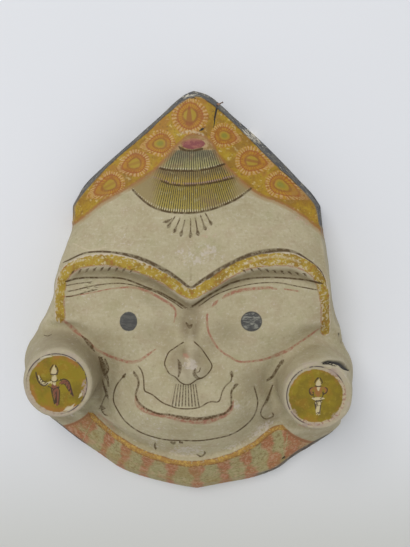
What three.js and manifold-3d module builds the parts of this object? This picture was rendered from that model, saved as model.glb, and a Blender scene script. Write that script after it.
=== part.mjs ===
import * as THREE from "three";
import Module from "manifold-3d";

const wasm = await Module();
wasm.setup();

// Driving sizes, millimetres
const MASK_HEIGHT = 400;
const WALL = 4;
const FLOOR_DEPTH = 6;
const NOSE_HEIGHT = 10;
const EAR_TOP = 108;
const EAR_DISC_RADIUS = 27.5;
const EAR_TOP_RADIUS = 31;
const EAR_FOOT_RADIUS = 41;
const EAR_FLARE_DROP = 70;
const EAR_RIM_RISE = 1;

// The points below are read in a front view, [across, down, height]. One unit across or down
// is one millimetre at the floor when the drawn height is kept, and height is above the floor.
const DRAWN_HEIGHT = 401.4;
const SCALE = MASK_HEIGHT / DRAWN_HEIGHT;
const EYE_DISTANCE = 950;
const EYE_LEAN = THREE.MathUtils.degToRad(4);
const VIEW_UNITS = 945;
const VIEW_CENTRE = { across: 205, down: 273.5 };
const AIM = { x: 18, y: 16 };

// Number of facets
const COLUMNS = 52;
const INNER_COLUMNS = 26;
const EAR_FACETS = 40;
const INNER_EAR_FACETS = 28;
const MITRE_LIMIT = 0.6;

// Front edge of the crown and the back edge below it
const GABLE = [
  [76, 203, 42], [102, 172.5, 44], [140, 138.5, 44], [172, 110, 45], [193.5, 96.5, 45],
  [207, 101, 45], [236, 125, 45], [273, 163, 44], [301, 189, 43], [314, 204, 42],
];
const GABLE_RIM = [
  [73, 206, 0], [84, 186, 0], [104, 166, 0], [131, 142, 0], [158, 118, 0], [185.5, 94.2, 0],
  [193.5, 90.7, 0], [206, 94.2, 0], [235, 118, 0], [262, 142, 0], [286, 166, 0], [301, 182, 0],
  [312, 193.5, 0], [320.5, 206, 0],
];

// Guide lines across the face, from the crown band down to the chin band
const CROWN_INNER = [
  [75, 224, 46], [85, 216.5, 50], [103, 202, 53], [128, 188, 55], [155, 170, 56], [177, 146, 55],
  [193, 135, 53], [209, 141, 55], [225, 165, 56], [255, 192, 56], [278, 202, 54], [298, 213, 52],
  [321, 231, 48],
];
const FOREHEAD = [
  [68, 243, 56], [76, 240, 63], [100, 236, 71], [140, 232, 78], [193, 229, 81], [245, 233, 79],
  [285, 240, 73], [314, 246, 64], [324, 248, 58],
];
const BROW_TOP = [
  [58.8, 268, 66], [66, 262, 73], [84, 253.5, 78], [112, 252, 83], [140, 258, 86],
  [168, 272, 87], [191, 287, 85], [210, 276.5, 87], [233, 262, 87], [258, 252.5, 85],
  [286, 250.5, 82], [309, 260, 78], [320, 267, 73], [327, 270, 66],
];
const BROW_CREST = [
  [56, 283, 69], [63, 278, 77], [84, 267, 84], [112, 265.5, 90], [140, 271.5, 93],
  [168, 285, 93], [191, 299, 90], [212, 288, 93], [235, 275, 93], [262, 266.5, 92],
  [288, 266, 88], [310, 275, 83], [322, 283, 77], [329.5, 287, 68],
];
const LID = [
  [54.5, 296, 66], [62, 291, 73], [84, 283, 75], [112, 279.5, 79], [140, 284, 82],
  [165, 295, 82.5], [190, 309, 81.5], [215, 295, 82.5], [240, 285, 82], [266, 279.5, 80],
  [292, 280, 77], [312, 287, 75], [324, 295, 73], [331, 301, 65],
];
const EYE = [
  [48, 314, 59], [58, 316, 69], [80, 319, 77], [105, 321, 82], [128, 321.5, 84], [155, 322, 83],
  [175, 324, 80], [190, 326, 80], [206, 324, 80], [225, 322, 83], [252, 321.5, 85],
  [280, 321, 82], [305, 320, 77], [322, 320, 70], [334, 318, 58],
];
const UNDER_EYE = [
  [37, 334, 48], [50, 331, 55], [67, 328, 63], [84, 338, 68], [105, 352, 71], [132, 361.5, 78],
  [157, 351, 82], [190, 350, 85], [222, 352, 82], [242, 361.5, 79], [268, 358, 74],
  [292, 349, 69], [314, 334, 63], [326, 334, 57], [341.5, 337, 46],
];
const NOSE_FOOT = [
  [38, 372, 32], [52, 376, 42], [75, 379, 46], [98, 380, 49], [107, 380, 54],
  [122, 380, 70], [145, 381, 82], [170, 383, 89], [190, 385, 91], [210, 383, 89],
  [238, 382, 82], [258, 382, 70], [271, 381, 56], [280, 381, 50], [310, 382, 46],
  [326, 380, 42], [341, 376, 32],
];
const MOUTH = [
  [43, 392, 28], [58, 399, 36], [85, 405, 42], [103, 409, 47], [113, 410, 59],
  [124, 411, 68], [145, 410, 81], [168, 412, 88], [191, 415, 90], [214, 413, 88],
  [236, 410, 81], [253, 409, 68], [264, 409, 59], [275, 410, 48], [300, 408, 42],
  [322, 403, 36], [337, 396, 28],
];
const JAW = [
  [44, 404, 25], [64, 406, 34], [91, 408, 43], [108, 419, 52], [124, 428, 59], [145, 436, 64],
  [168, 440, 67], [194, 441, 68.5], [222, 437, 67], [243, 428, 63.5], [257, 417, 58],
  [270, 411, 51], [288, 412, 44], [316, 412, 35], [336, 407, 25],
];
const CHIN_VALLEY = [
  [46, 409, 23], [68, 410, 32], [92, 411, 41], [114, 427.5, 43], [142, 444, 46.5],
  [169, 454, 48.5], [196, 457, 49], [223, 451.5, 48.5], [249, 440, 47], [265, 428, 45],
  [279, 422, 42.5], [298, 425, 35], [318, 424, 28], [340, 415, 21],
];
const CHIN_RIDGE = [
  [48, 413.5, 21], [70, 414, 31], [92, 415, 42], [112, 433.5, 47], [140, 450.5, 49.5],
  [168, 460.5, 51], [196, 463.5, 51.5], [224, 458, 51], [252, 445.5, 49.5], [269, 432, 48],
  [281, 427, 45], [299, 430, 36], [318, 430, 28], [341, 421, 18],
];
const CHIN_EDGE = [
  [59, 421.5, 14], [78.5, 436, 16], [100.5, 450.5, 18], [125, 465.5, 19], [151, 475, 20],
  [184, 483.5, 20], [197, 485.5, 20], [222, 480.5, 20], [248, 475, 19], [274, 466.5, 18],
  [292, 453, 17], [308, 443.5, 15], [330, 432, 12],
];
const CHIN_RIM = [
  [58, 423, 0], [77, 438, 0], [99, 453, 0], [123, 469, 0], [149, 478, 0], [184, 486, 0],
  [197, 488, 0], [223, 483, 0], [250, 478, 0], [276, 469, 0], [294, 456, 0], [310, 446.5, 0],
  [331, 433, 0],
];
const GUIDES = [
  GABLE, CROWN_INNER, FOREHEAD, BROW_TOP, BROW_CREST, LID, EYE, UNDER_EYE, NOSE_FOOT, MOUTH,
  JAW, CHIN_VALLEY, CHIN_RIDGE, CHIN_EDGE,
];
const MIDDLE = [193.5, 193, 193, 191, 191, 190, 190, 190, 190, 191, 194, 196, 196, 197];
const ROWS = [4, 5, 3, 2, 2, 4, 4, 5, 4, 4, 3, 1, 4];
const INNER_ROWS = [2, 3, 2, 1, 1, 2, 2, 3, 2, 3, 3, 1, 3];
const GABLE_RIM_MIDDLE = 193.5;
const CHIN_RIM_MIDDLE = 197;

// Back edge beside each guide line, left and right
const RIM_LEFT = [
  [73, 206, 0], [72.5, 226, 0], [66.8, 244, 0], [58.7, 268, 0], [55, 282, 0], [53.7, 294, 0],
  [46.8, 312, 0], [37.5, 333, 0], [41, 368, 0], [45, 392, 0], [44.5, 405, 0], [46, 410, 0],
  [49, 415.5, 0], [58, 423, 0],
];
const RIM_RIGHT = [
  [320.5, 206, 0], [323, 230, 0], [326.3, 248, 0], [328.8, 270, 0], [330.4, 284, 0],
  [332, 298, 0], [335.3, 314, 0], [341, 334, 0], [339, 372, 0], [335, 394, 0], [336, 407, 0],
  [341, 416, 0], [341, 422, 0], [331, 433, 0],
];

// The nose: down the view, its middle, half width and share of the nose height
const NOSE = [
  [322, 191, 3, 0], [336, 191, 7, 0.3], [346, 190.5, 13, 0.56], [354, 189.5, 19, 0.82],
  [361, 188.5, 22.5, 0.97], [368, 188, 24, 1], [375, 187.5, 22, 0.88], [381, 187.5, 15, 0.5],
  [387, 188, 6, 0],
];

// The ear knobs: middle of the disc, and how far the foot lies aside from it, in millimetres
const LEFT_EAR = { spot: [57.8, 384], lean: [-3, 8] };
const RIGHT_EAR = { spot: [317.8, 396], lean: [2.5, 8.5] };

// A view point carried to its own height
function place(across, down, height) {
  const lean = EYE_LEAN;
  const right = (across - VIEW_CENTRE.across) / VIEW_UNITS;
  const up = (VIEW_CENTRE.down - down) / VIEW_UNITS;
  const rayY = -Math.sin(lean) + up * Math.cos(lean);
  const rayZ = -Math.cos(lean) - up * Math.sin(lean);
  const eyeY = AIM.y + EYE_DISTANCE * Math.sin(lean);
  const eyeZ = EYE_DISTANCE * Math.cos(lean);
  const reach = (height - eyeZ) / rayZ;
  return new THREE.Vector3(
    (AIM.x + reach * right) * SCALE,
    (eyeY + reach * rayY) * SCALE,
    height * SCALE,
  );
}

// Smooth curve through points that never overshoots between them
function easeThrough(xs, ys) {
  const last = xs.length - 1;
  const slopes = [];
  for (let i = 0; i < last; i += 1) {
    slopes.push((ys[i + 1] - ys[i]) / (xs[i + 1] - xs[i]));
  }
  const turns = xs.map((_, i) => {
    if (i === 0) return slopes[0];
    if (i === last) return slopes[last - 1];
    const before = slopes[i - 1];
    const after = slopes[i];
    if (before * after <= 0) return 0;
    return (2 * before * after) / (before + after);
  });
  return (x) => {
    let i = 0;
    while (i < last - 1 && x > xs[i + 1]) i += 1;
    const span = xs[i + 1] - xs[i];
    const t = Math.min(1, Math.max(0, (x - xs[i]) / span));
    const t2 = t * t;
    const t3 = t2 * t;
    return (
      ys[i] * (2 * t3 - 3 * t2 + 1) +
      turns[i] * span * (t3 - 2 * t2 + t) +
      ys[i + 1] * (3 * t2 - 2 * t3) +
      turns[i + 1] * span * (t3 - t2)
    );
  };
}

// A guide line as a function of the share across it: -1 left, 0 middle, 1 right
function acrossGuide(points, middle, peaked) {
  const left = points[0][0];
  const right = points[points.length - 1][0];
  const toAcross = (share) =>
    share < 0 ? middle + share * (middle - left) : middle + share * (right - middle);
  const pick = (axis) => {
    const all = easeThrough(points.map((p) => p[0]), points.map((p) => p[axis]));
    if (!peaked) return all;
    const top = points.findIndex((p) => Math.abs(p[0] - middle) < 0.01);
    const l = points.slice(0, top + 1);
    const r = points.slice(top);
    const leftCurve = easeThrough(l.map((p) => p[0]), l.map((p) => p[axis]));
    const rightCurve = easeThrough(r.map((p) => p[0]), r.map((p) => p[axis]));
    return (x) => (x <= middle ? leftCurve(x) : rightCurve(x));
  };
  const down = pick(1);
  const height = pick(2);
  return (share) => {
    const across = toAcross(share);
    return [across, down(across), height(across)];
  };
}

const noseDown = NOSE.map((n) => n[0]);
const noseMiddle = easeThrough(noseDown, NOSE.map((n) => n[1]));
const noseHalf = easeThrough(noseDown, NOSE.map((n) => n[2]));
const noseShare = easeThrough(noseDown, NOSE.map((n) => n[3]));

function noseRise(across, down, inset) {
  if (down <= noseDown[0] || down >= noseDown[noseDown.length - 1]) return 0;
  const half = Math.max(1, noseHalf(down) - inset);
  const offset = Math.abs(across - noseMiddle(down)) / half;
  const full = inset > 0 ? NOSE_HEIGHT * 0.6 : NOSE_HEIGHT;
  if (offset >= 1) return 0;
  return full * noseShare(down) * (1 - offset ** 2) ** 1.2;
}

// Front surface as rows of points, and the back edge that goes with its border
function frontLattice(columns, rows, inset) {
  const shares = [];
  for (let i = 0; i <= columns; i += 1) {
    const t = (2 * i) / columns - 1;
    shares.push(t + (0.3 * Math.sin(Math.PI * t)) / Math.PI);
  }
  const lastGuide = GUIDES.length - 1;
  const steps = [];
  rows.forEach((count, span) => {
    for (let i = 0; i < count; i += 1) steps.push(span + i / count);
  });
  steps.push(lastGuide);
  const guides = GUIDES.map((g, i) => acrossGuide(g, MIDDLE[i], i === 0 || i === lastGuide));
  const order = GUIDES.map((_, i) => i);
  const lattice = steps.map(() => []);
  shares.forEach((share) => {
    const knots = guides.map((g) => g(share));
    const curves = [0, 1, 2].map((axis) => easeThrough(order, knots.map((k) => k[axis])));
    steps.forEach((step, row) => {
      const [across, down, height] = curves.map((c) => c(step));
      lattice[row].push(place(across, down, height + noseRise(across, down, inset)));
    });
  });
  const rimTop = acrossGuide(GABLE_RIM, GABLE_RIM_MIDDLE, true);
  const rimFoot = acrossGuide(CHIN_RIM, CHIN_RIM_MIDDLE, true);
  const sideRim = (points) => {
    const curves = [0, 1].map((axis) => easeThrough(order, points.map((p) => p[axis])));
    return steps.map((step) => place(curves[0](step), curves[1](step), 0));
  };
  return {
    lattice,
    top: shares.map((share) => place(...rimTop(share))),
    foot: shares.map((share) => place(...rimFoot(share))),
    left: sideRim(RIM_LEFT),
    right: sideRim(RIM_RIGHT),
  };
}

// Closed solid below the front surface, drawn in by a thickness when that is above nought
function bodySolid(columns, rows, wallSteps, inset, floor) {
  const front = frontLattice(columns, rows, inset);
  const high = front.lattice.length - 1;
  const vertices = [];
  const triangles = [];
  const index = front.lattice.map((row) =>
    row.map((p) => {
      vertices.push(p.clone());
      return vertices.length - 1;
    }),
  );
  for (let r = 0; r < high; r += 1) {
    for (let c = 0; c < columns; c += 1) {
      const a = index[r][c];
      const b = index[r][c + 1];
      const d = index[r + 1][c];
      const e = index[r + 1][c + 1];
      triangles.push([a, d, e], [a, e, b]);
    }
  }
  const border = [];
  const rim = [];
  for (let c = 0; c < columns; c += 1) {
    border.push(index[0][c]);
    rim.push(front.top[c]);
  }
  for (let r = 0; r < high; r += 1) {
    border.push(index[r][columns]);
    rim.push(front.right[r]);
  }
  for (let c = columns; c > 0; c -= 1) {
    border.push(index[high][c]);
    rim.push(front.foot[c]);
  }
  for (let r = high; r > 0; r -= 1) {
    border.push(index[r][0]);
    rim.push(front.left[r]);
  }
  const count = border.length;
  let ring = border;
  for (let step = 1; step <= wallSteps; step += 1) {
    const share = step / wallSteps;
    const next = border.map((v, i) => {
      vertices.push(vertices[v].clone().lerp(rim[i], share));
      return vertices.length - 1;
    });
    for (let i = 0; i < count; i += 1) {
      const j = (i + 1) % count;
      triangles.push([ring[i], ring[j], next[j]], [ring[i], next[j], next[i]]);
    }
    ring = next;
  }
  if (inset > 0) drawIn(vertices, triangles, ring, inset);
  const floorRing = ring.map((v) => {
    const p = vertices[v].clone();
    p.z = floor;
    vertices.push(p);
    return vertices.length - 1;
  });
  if (floor < 0) {
    for (let i = 0; i < count; i += 1) {
      const j = (i + 1) % count;
      triangles.push([ring[i], ring[j], floorRing[j]], [ring[i], floorRing[j], floorRing[i]]);
    }
  }
  const closing = floor < 0 ? floorRing : ring;
  if (floor >= 0) vertices.length -= count;
  vertices.push(new THREE.Vector3(0, -20 * SCALE, floor));
  const centre = vertices.length - 1;
  for (let i = 0; i < count; i += 1) {
    const j = (i + 1) % count;
    triangles.push([closing[i], closing[j], centre]);
  }
  return toManifold(vertices, triangles);
}

// Every point moved inwards along the surface normal, the back edge only sideways
function drawIn(vertices, triangles, ring, inset) {
  const normals = vertices.map(() => new THREE.Vector3());
  const faceNormals = triangles.map(([a, b, c]) => {
    const ab = new THREE.Vector3().subVectors(vertices[b], vertices[a]);
    const ac = new THREE.Vector3().subVectors(vertices[c], vertices[a]);
    const face = ab.cross(ac);
    for (const v of [a, b, c]) normals[v].add(face);
    return face.clone().normalize();
  });
  const onRing = new Set(ring);
  normals.forEach((n, i) => {
    if (onRing.has(i)) n.z = 0;
    n.normalize();
  });
  const lean = vertices.map(() => 1);
  triangles.forEach((corners, k) => {
    for (const v of corners) lean[v] = Math.min(lean[v], normals[v].dot(faceNormals[k]));
  });
  vertices.forEach((p, i) => {
    p.addScaledVector(normals[i], -inset / Math.max(MITRE_LIMIT, lean[i]));
    if (onRing.has(i)) p.z = 0;
  });
}

function toManifold(vertices, triangles) {
  const vertProperties = new Float32Array(vertices.flatMap((p) => [p.x, p.y, p.z]));
  const triVerts = new Uint32Array(triangles.flat());
  return new wasm.Manifold(new wasm.Mesh({ numProp: 3, vertProperties, triVerts }));
}

// A round solid from [radius, height] pairs, top first, that leans over towards its foot
function turnedSolid({ spot, lean }, profile, facets) {
  const centre = place(spot[0], spot[1], EAR_TOP);
  const middle = (height) => {
    const share = Math.min(1, Math.max(0, (EAR_TOP - height) / EAR_FLARE_DROP));
    return new THREE.Vector3(centre.x + lean[0] * share, centre.y + lean[1] * share, height);
  };
  const vertices = [];
  const triangles = [];
  const rings = profile.map(([radius, height]) => {
    const about = middle(height);
    const ring = [];
    for (let i = 0; i < facets; i += 1) {
      const turn = (i / facets) * Math.PI * 2;
      vertices.push(
        new THREE.Vector3(
          about.x + radius * Math.cos(turn),
          about.y + radius * Math.sin(turn),
          height,
        ),
      );
      ring.push(vertices.length - 1);
    }
    return ring;
  });
  for (let k = 0; k + 1 < rings.length; k += 1) {
    for (let i = 0; i < facets; i += 1) {
      const j = (i + 1) % facets;
      const upper = rings[k];
      const lower = rings[k + 1];
      triangles.push([upper[i], lower[i], lower[j]], [upper[i], lower[j], upper[j]]);
    }
  }
  const first = rings[0];
  const last = rings[rings.length - 1];
  vertices.push(middle(profile[0][1]));
  const topCentre = vertices.length - 1;
  vertices.push(middle(profile[profile.length - 1][1]));
  const footCentre = vertices.length - 1;
  for (let i = 0; i < facets; i += 1) {
    const j = (i + 1) % facets;
    triangles.push([first[i], first[j], topCentre], [last[j], last[i], footCentre]);
  }
  return toManifold(vertices, triangles);
}

const earSide = EAR_FOOT_RADIUS - EAR_TOP_RADIUS;
const earProfile = [
  [EAR_DISC_RADIUS, EAR_TOP - EAR_RIM_RISE],
  [EAR_DISC_RADIUS + EAR_RIM_RISE * 1.5, EAR_TOP],
  [EAR_TOP_RADIUS - EAR_RIM_RISE, EAR_TOP - EAR_RIM_RISE * 0.6],
  [EAR_TOP_RADIUS, EAR_TOP - EAR_RIM_RISE * 3],
  [EAR_TOP_RADIUS + earSide * 0.15, EAR_TOP - EAR_FLARE_DROP * 0.17],
  [EAR_TOP_RADIUS + earSide * 0.32, EAR_TOP - EAR_FLARE_DROP * 0.43],
  [EAR_TOP_RADIUS + earSide * 0.5, EAR_TOP - EAR_FLARE_DROP * 0.69],
  [EAR_TOP_RADIUS + earSide * 0.74, EAR_TOP - EAR_FLARE_DROP * 0.86],
  [EAR_TOP_RADIUS + earSide * 0.92, EAR_TOP - EAR_FLARE_DROP],
  [EAR_FOOT_RADIUS, 0],
];
const earHollow = [
  [EAR_TOP_RADIUS - WALL * 1.5, EAR_TOP - WALL - EAR_RIM_RISE],
  [EAR_TOP_RADIUS - WALL, EAR_TOP - WALL * 2],
  [EAR_TOP_RADIUS - WALL + earSide * 0.5, EAR_TOP - EAR_FLARE_DROP * 0.69],
  [EAR_FOOT_RADIUS - WALL, EAR_TOP - EAR_FLARE_DROP],
  [EAR_FOOT_RADIUS - WALL, -FLOOR_DEPTH],
];

const outer = bodySolid(COLUMNS, ROWS, 3, 0, 0);
const inner = bodySolid(INNER_COLUMNS, INNER_ROWS, 2, WALL, -FLOOR_DEPTH);
const solid = outer
  .add(turnedSolid(LEFT_EAR, earProfile, EAR_FACETS))
  .add(turnedSolid(RIGHT_EAR, earProfile, EAR_FACETS))
  .subtract(inner)
  .subtract(turnedSolid(LEFT_EAR, earHollow, INNER_EAR_FACETS))
  .subtract(turnedSolid(RIGHT_EAR, earHollow, INNER_EAR_FACETS));

const shellMesh = solid.getMesh();
const positions = new Float32Array((shellMesh.vertProperties.length / shellMesh.numProp) * 3);
for (let i = 0; i < positions.length / 3; i += 1) {
  for (let k = 0; k < 3; k += 1) {
    positions[i * 3 + k] = shellMesh.vertProperties[i * shellMesh.numProp + k];
  }
}
const geometry = new THREE.BufferGeometry();
geometry.setAttribute("position", new THREE.BufferAttribute(positions, 3));
geometry.setIndex(new THREE.BufferAttribute(new Uint32Array(shellMesh.triVerts), 1));

// The middle of the outline comes to the middle of the frame
geometry.computeBoundingBox();
const box = geometry.boundingBox;
geometry.translate(-(box.min.x + box.max.x) / 2, -(box.min.y + box.max.y) / 2, -box.min.z);
geometry.computeVertexNormals();

const paintedPaper = new THREE.MeshStandardMaterial({ color: 0xa89e80, roughness: 0.8 });
paintedPaper.name = "painted_paper";
const maskShell = new THREE.Mesh(geometry, paintedPaper);
maskShell.name = "mask_shell";

const mask = new THREE.Group();
mask.name = "papier_mache_mask";
mask.add(maskShell);
export default mask;
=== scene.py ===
# %% [markdown]
# # A papier-mache mask, dressed for its portrait
#
# The real thing is a festival mask. Paper and glue were laid over a mould, primed with a chalky
# ground, painted with a brush in mustard, orange, rust red and black, and then worn for years.
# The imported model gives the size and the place. This script makes the finished surface and the
# paint over it, in metres, in the same frame.

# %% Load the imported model
import math

import bmesh
import bpy
import numpy as np
from mathutils import Euler, Matrix, Vector


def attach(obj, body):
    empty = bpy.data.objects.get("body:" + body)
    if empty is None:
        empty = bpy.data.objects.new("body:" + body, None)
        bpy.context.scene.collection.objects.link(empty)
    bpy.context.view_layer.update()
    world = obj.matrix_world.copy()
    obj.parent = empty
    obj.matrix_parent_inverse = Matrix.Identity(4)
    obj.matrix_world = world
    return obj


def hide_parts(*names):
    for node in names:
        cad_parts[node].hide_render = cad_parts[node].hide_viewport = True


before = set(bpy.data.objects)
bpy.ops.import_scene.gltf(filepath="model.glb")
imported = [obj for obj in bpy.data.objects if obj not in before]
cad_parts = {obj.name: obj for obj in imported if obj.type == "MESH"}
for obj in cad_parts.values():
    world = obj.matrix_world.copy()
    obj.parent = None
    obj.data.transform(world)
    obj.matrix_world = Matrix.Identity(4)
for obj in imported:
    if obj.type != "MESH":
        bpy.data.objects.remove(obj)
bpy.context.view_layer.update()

# %% [markdown]
# The camera stands where the photographer stood: almost straight above the mask, leaning
# slightly. Every painted line is noted as it appears from there, as units across and down the
# view. So the same numbers that place the camera also carry a point of the mask into the view.

# %% Camera
VIEW_UNITS = 945.0
VIEW_CENTRE = (205.0, 273.5)
EYE_DISTANCE = 0.950
EYE_LEAN = math.radians(4)
SCALE = 400 / 401.4
AIM = (0.018, 0.016)
SHIFT = (-0.00234, 0.002935)
EYE = np.array([
    AIM[0] * SCALE + SHIFT[0],
    (AIM[1] + EYE_DISTANCE * math.sin(EYE_LEAN)) * SCALE + SHIFT[1],
    EYE_DISTANCE * math.cos(EYE_LEAN) * SCALE,
])
LOOK = np.array([0.0, -math.sin(EYE_LEAN), -math.cos(EYE_LEAN)])
UP = np.array([0.0, math.cos(EYE_LEAN), -math.sin(EYE_LEAN)])

camera = bpy.data.objects.new("camera", bpy.data.cameras.new("camera"))
bpy.context.collection.objects.link(camera)
camera.location = EYE
camera.rotation_euler = Euler((-EYE_LEAN, 0, 0))
camera.data.sensor_width = 36
camera.data.lens = 36 * VIEW_UNITS / 547
bpy.context.scene.camera = camera
print("camera at", tuple(round(float(v), 4) for v in EYE), "lens", round(camera.data.lens, 1))


def to_view(points):
    """Units across and down the view for points of the mask."""
    away = points - EYE
    depth = away @ LOOK
    across = VIEW_CENTRE[0] + VIEW_UNITS * away[:, 0] / depth
    down = VIEW_CENTRE[1] - VIEW_UNITS * (away @ UP) / depth
    return across, down


def from_view(across, down, height):
    """Points in metres for view units and a height above the floor in millimetres."""
    right = (across - VIEW_CENTRE[0]) / VIEW_UNITS
    rise = (VIEW_CENTRE[1] - down) / VIEW_UNITS
    ray = LOOK + rise[..., None] * UP
    ray[..., 0] += right
    reach = (height * SCALE / 1000 - EYE[2]) / ray[..., 2]
    return EYE + reach[..., None] * ray


# %% [markdown]
# The face is a smooth sheet over a net of guide lines, each with points of
# [across, down, height]. A curve that never overshoots joins them, so a flat stays flat and a
# ridge keeps its height. A maker would call them the ribs of the mould.

# %% Guide lines of the face
GUIDES = [
    # front edge of the crown
    [[76, 203, 42], [102, 172.5, 44], [140, 138.5, 44], [172, 110, 45], [193.5, 96.5, 45],
     [207, 101, 45], [236, 125, 45], [273, 163, 44], [301, 189, 43], [314, 204, 42]],
    # inner edge of the crown band
    [[75, 224, 46], [85, 216.5, 50], [103, 202, 53], [128, 188, 55], [155, 170, 56],
     [177, 146, 55], [193, 135, 53], [209, 141, 55], [225, 165, 56], [255, 192, 56],
     [278, 202, 54], [298, 213, 52], [321, 231, 48]],
    # forehead
    [[68, 243, 56], [76, 240, 63], [100, 236, 71], [140, 232, 78], [193, 229, 81],
     [245, 233, 79], [285, 240, 73], [314, 246, 64], [324, 248, 58]],
    # top of the brow
    [[58.8, 268, 66], [66, 262, 73], [84, 253.5, 78], [112, 252, 83], [140, 258, 86],
     [168, 272, 87], [191, 287, 85], [210, 276.5, 87], [233, 262, 87], [258, 252.5, 85],
     [286, 250.5, 82], [309, 260, 78], [320, 267, 73], [327, 270, 66]],
    # crest of the brow
    [[56, 283, 69], [63, 278, 77], [84, 267, 84], [112, 265.5, 90], [140, 271.5, 93],
     [168, 285, 93], [191, 299, 90], [212, 288, 93], [235, 275, 93], [262, 266.5, 92],
     [288, 266, 88], [310, 275, 83], [322, 283, 77], [329.5, 287, 68]],
    # lids
    [[54.5, 296, 66], [62, 291, 73], [84, 283, 75], [112, 279.5, 79], [140, 284, 82],
     [165, 295, 82.5], [190, 309, 81.5], [215, 295, 82.5], [240, 285, 82], [266, 279.5, 80],
     [292, 280, 77], [312, 287, 75], [324, 295, 73], [331, 301, 65]],
    # middle of the eyes
    [[48, 314, 59], [58, 316, 69], [80, 319, 77], [105, 321, 82], [128, 321.5, 84],
     [155, 322, 83], [175, 324, 80], [190, 326, 80], [206, 324, 80], [225, 322, 83],
     [252, 321.5, 85], [280, 321, 82], [305, 320, 77], [322, 320, 70], [334, 318, 58]],
    # below the eyes
    [[37, 334, 48], [50, 331, 55], [67, 328, 63], [84, 338, 68], [105, 352, 71],
     [132, 361.5, 78], [157, 351, 82], [190, 350, 85], [222, 352, 82], [242, 361.5, 79],
     [268, 358, 74], [292, 349, 69], [314, 334, 63], [326, 334, 57], [341.5, 337, 46]],
    # foot of the nose
    [[38, 372, 32], [52, 376, 42], [75, 379, 46], [98, 380, 49], [107, 380, 54],
     [122, 380, 70], [145, 381, 82], [170, 383, 89], [190, 385, 91], [210, 383, 89],
     [238, 382, 82], [258, 382, 70], [271, 381, 56], [280, 381, 50], [310, 382, 46],
     [326, 380, 42], [341, 376, 32]],
    # mouth
    [[43, 392, 28], [58, 399, 36], [85, 405, 42], [103, 409, 47], [113, 410, 59],
     [124, 411, 68], [145, 410, 81], [168, 412, 88], [191, 415, 90], [214, 413, 88],
     [236, 410, 81], [253, 409, 68], [264, 409, 59], [275, 410, 48], [300, 408, 42],
     [322, 403, 36], [337, 396, 28]],
    # jaw
    [[44, 404, 25], [64, 406, 34], [91, 408, 43], [108, 419, 52], [124, 428, 59], [145, 436, 64],
     [168, 440, 67], [194, 441, 68.5], [222, 437, 67], [243, 428, 63.5], [257, 417, 58],
     [270, 411, 51], [288, 412, 44], [316, 412, 35], [336, 407, 25]],
    # valley above the chin band
    [[46, 409, 23], [68, 410, 32], [92, 411, 41], [114, 427.5, 43], [142, 444, 46.5],
     [169, 454, 48.5], [196, 457, 49], [223, 451.5, 48.5], [249, 440, 47], [265, 428, 45],
     [279, 422, 42.5], [298, 425, 35], [318, 424, 28], [340, 415, 21]],
    # ridge of the chin band
    [[48, 413.5, 21], [70, 414, 31], [92, 415, 42], [112, 433.5, 47], [140, 450.5, 49.5],
     [168, 460.5, 51], [196, 463.5, 51.5], [224, 458, 51], [252, 445.5, 49.5], [269, 432, 48],
     [281, 427, 45], [299, 430, 36], [318, 430, 28], [341, 421, 18]],
    # front edge of the chin band
    [[59, 421.5, 14], [78.5, 436, 16], [100.5, 450.5, 18], [125, 465.5, 19], [151, 475, 20],
     [184, 483.5, 20], [197, 485.5, 20], [222, 480.5, 20], [248, 475, 19], [274, 466.5, 18],
     [292, 453, 17], [308, 443.5, 15], [330, 432, 12]],
]
MIDDLE = [193.5, 193, 193, 191, 191, 190, 190, 190, 190, 191, 194, 196, 196, 197]
ROWS = [22, 50, 28, 12, 12, 24, 22, 22, 20, 18, 12, 6, 18]
COLUMNS = 200

# Back edge, down on the floor: along the crown, along the chin, then left and right
CROWN_RIM = [
    [73, 206, 0], [84, 186, 0], [104, 166, 0], [131, 142, 0], [158, 118, 0], [185.5, 94.2, 0],
    [193.5, 90.7, 0], [206, 94.2, 0], [235, 118, 0], [262, 142, 0], [286, 166, 0], [301, 182, 0],
    [312, 193.5, 0], [320.5, 206, 0],
]
CHIN_RIM = [
    [58, 423, 0], [77, 438, 0], [99, 453, 0], [123, 469, 0], [149, 478, 0], [184, 486, 0],
    [197, 488, 0], [223, 483, 0], [250, 478, 0], [276, 469, 0], [294, 456, 0], [310, 446.5, 0],
    [331, 433, 0],
]
LEFT_RIM = [
    [73, 206], [72.5, 226], [66.8, 244], [58.7, 268], [55, 282], [53.7, 294], [46.8, 312],
    [37.5, 333], [41, 368], [45, 392], [44.5, 405], [46, 410], [49, 415.5], [58, 423],
]
RIGHT_RIM = [
    [320.5, 206], [323, 230], [326.3, 248], [328.8, 270], [330.4, 284], [332, 298], [335.3, 314],
    [341, 334], [339, 372], [335, 394], [336, 407], [341, 416], [341, 422], [331, 433],
]
CROWN_RIM_MIDDLE = 193.5
CHIN_RIM_MIDDLE = 197

# The nose: down the view, its middle, half width and share of the nose height
NOSE = [
    [322, 191, 3, 0], [336, 191, 7, 0.3], [346, 190.5, 13, 0.56], [354, 189.5, 19, 0.82],
    [361, 188.5, 22.5, 0.97], [368, 188, 24, 1], [375, 187.5, 22, 0.88], [381, 187.5, 15, 0.5],
    [387, 188, 6, 0],
]
NOSE_HEIGHT = 10.0


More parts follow.
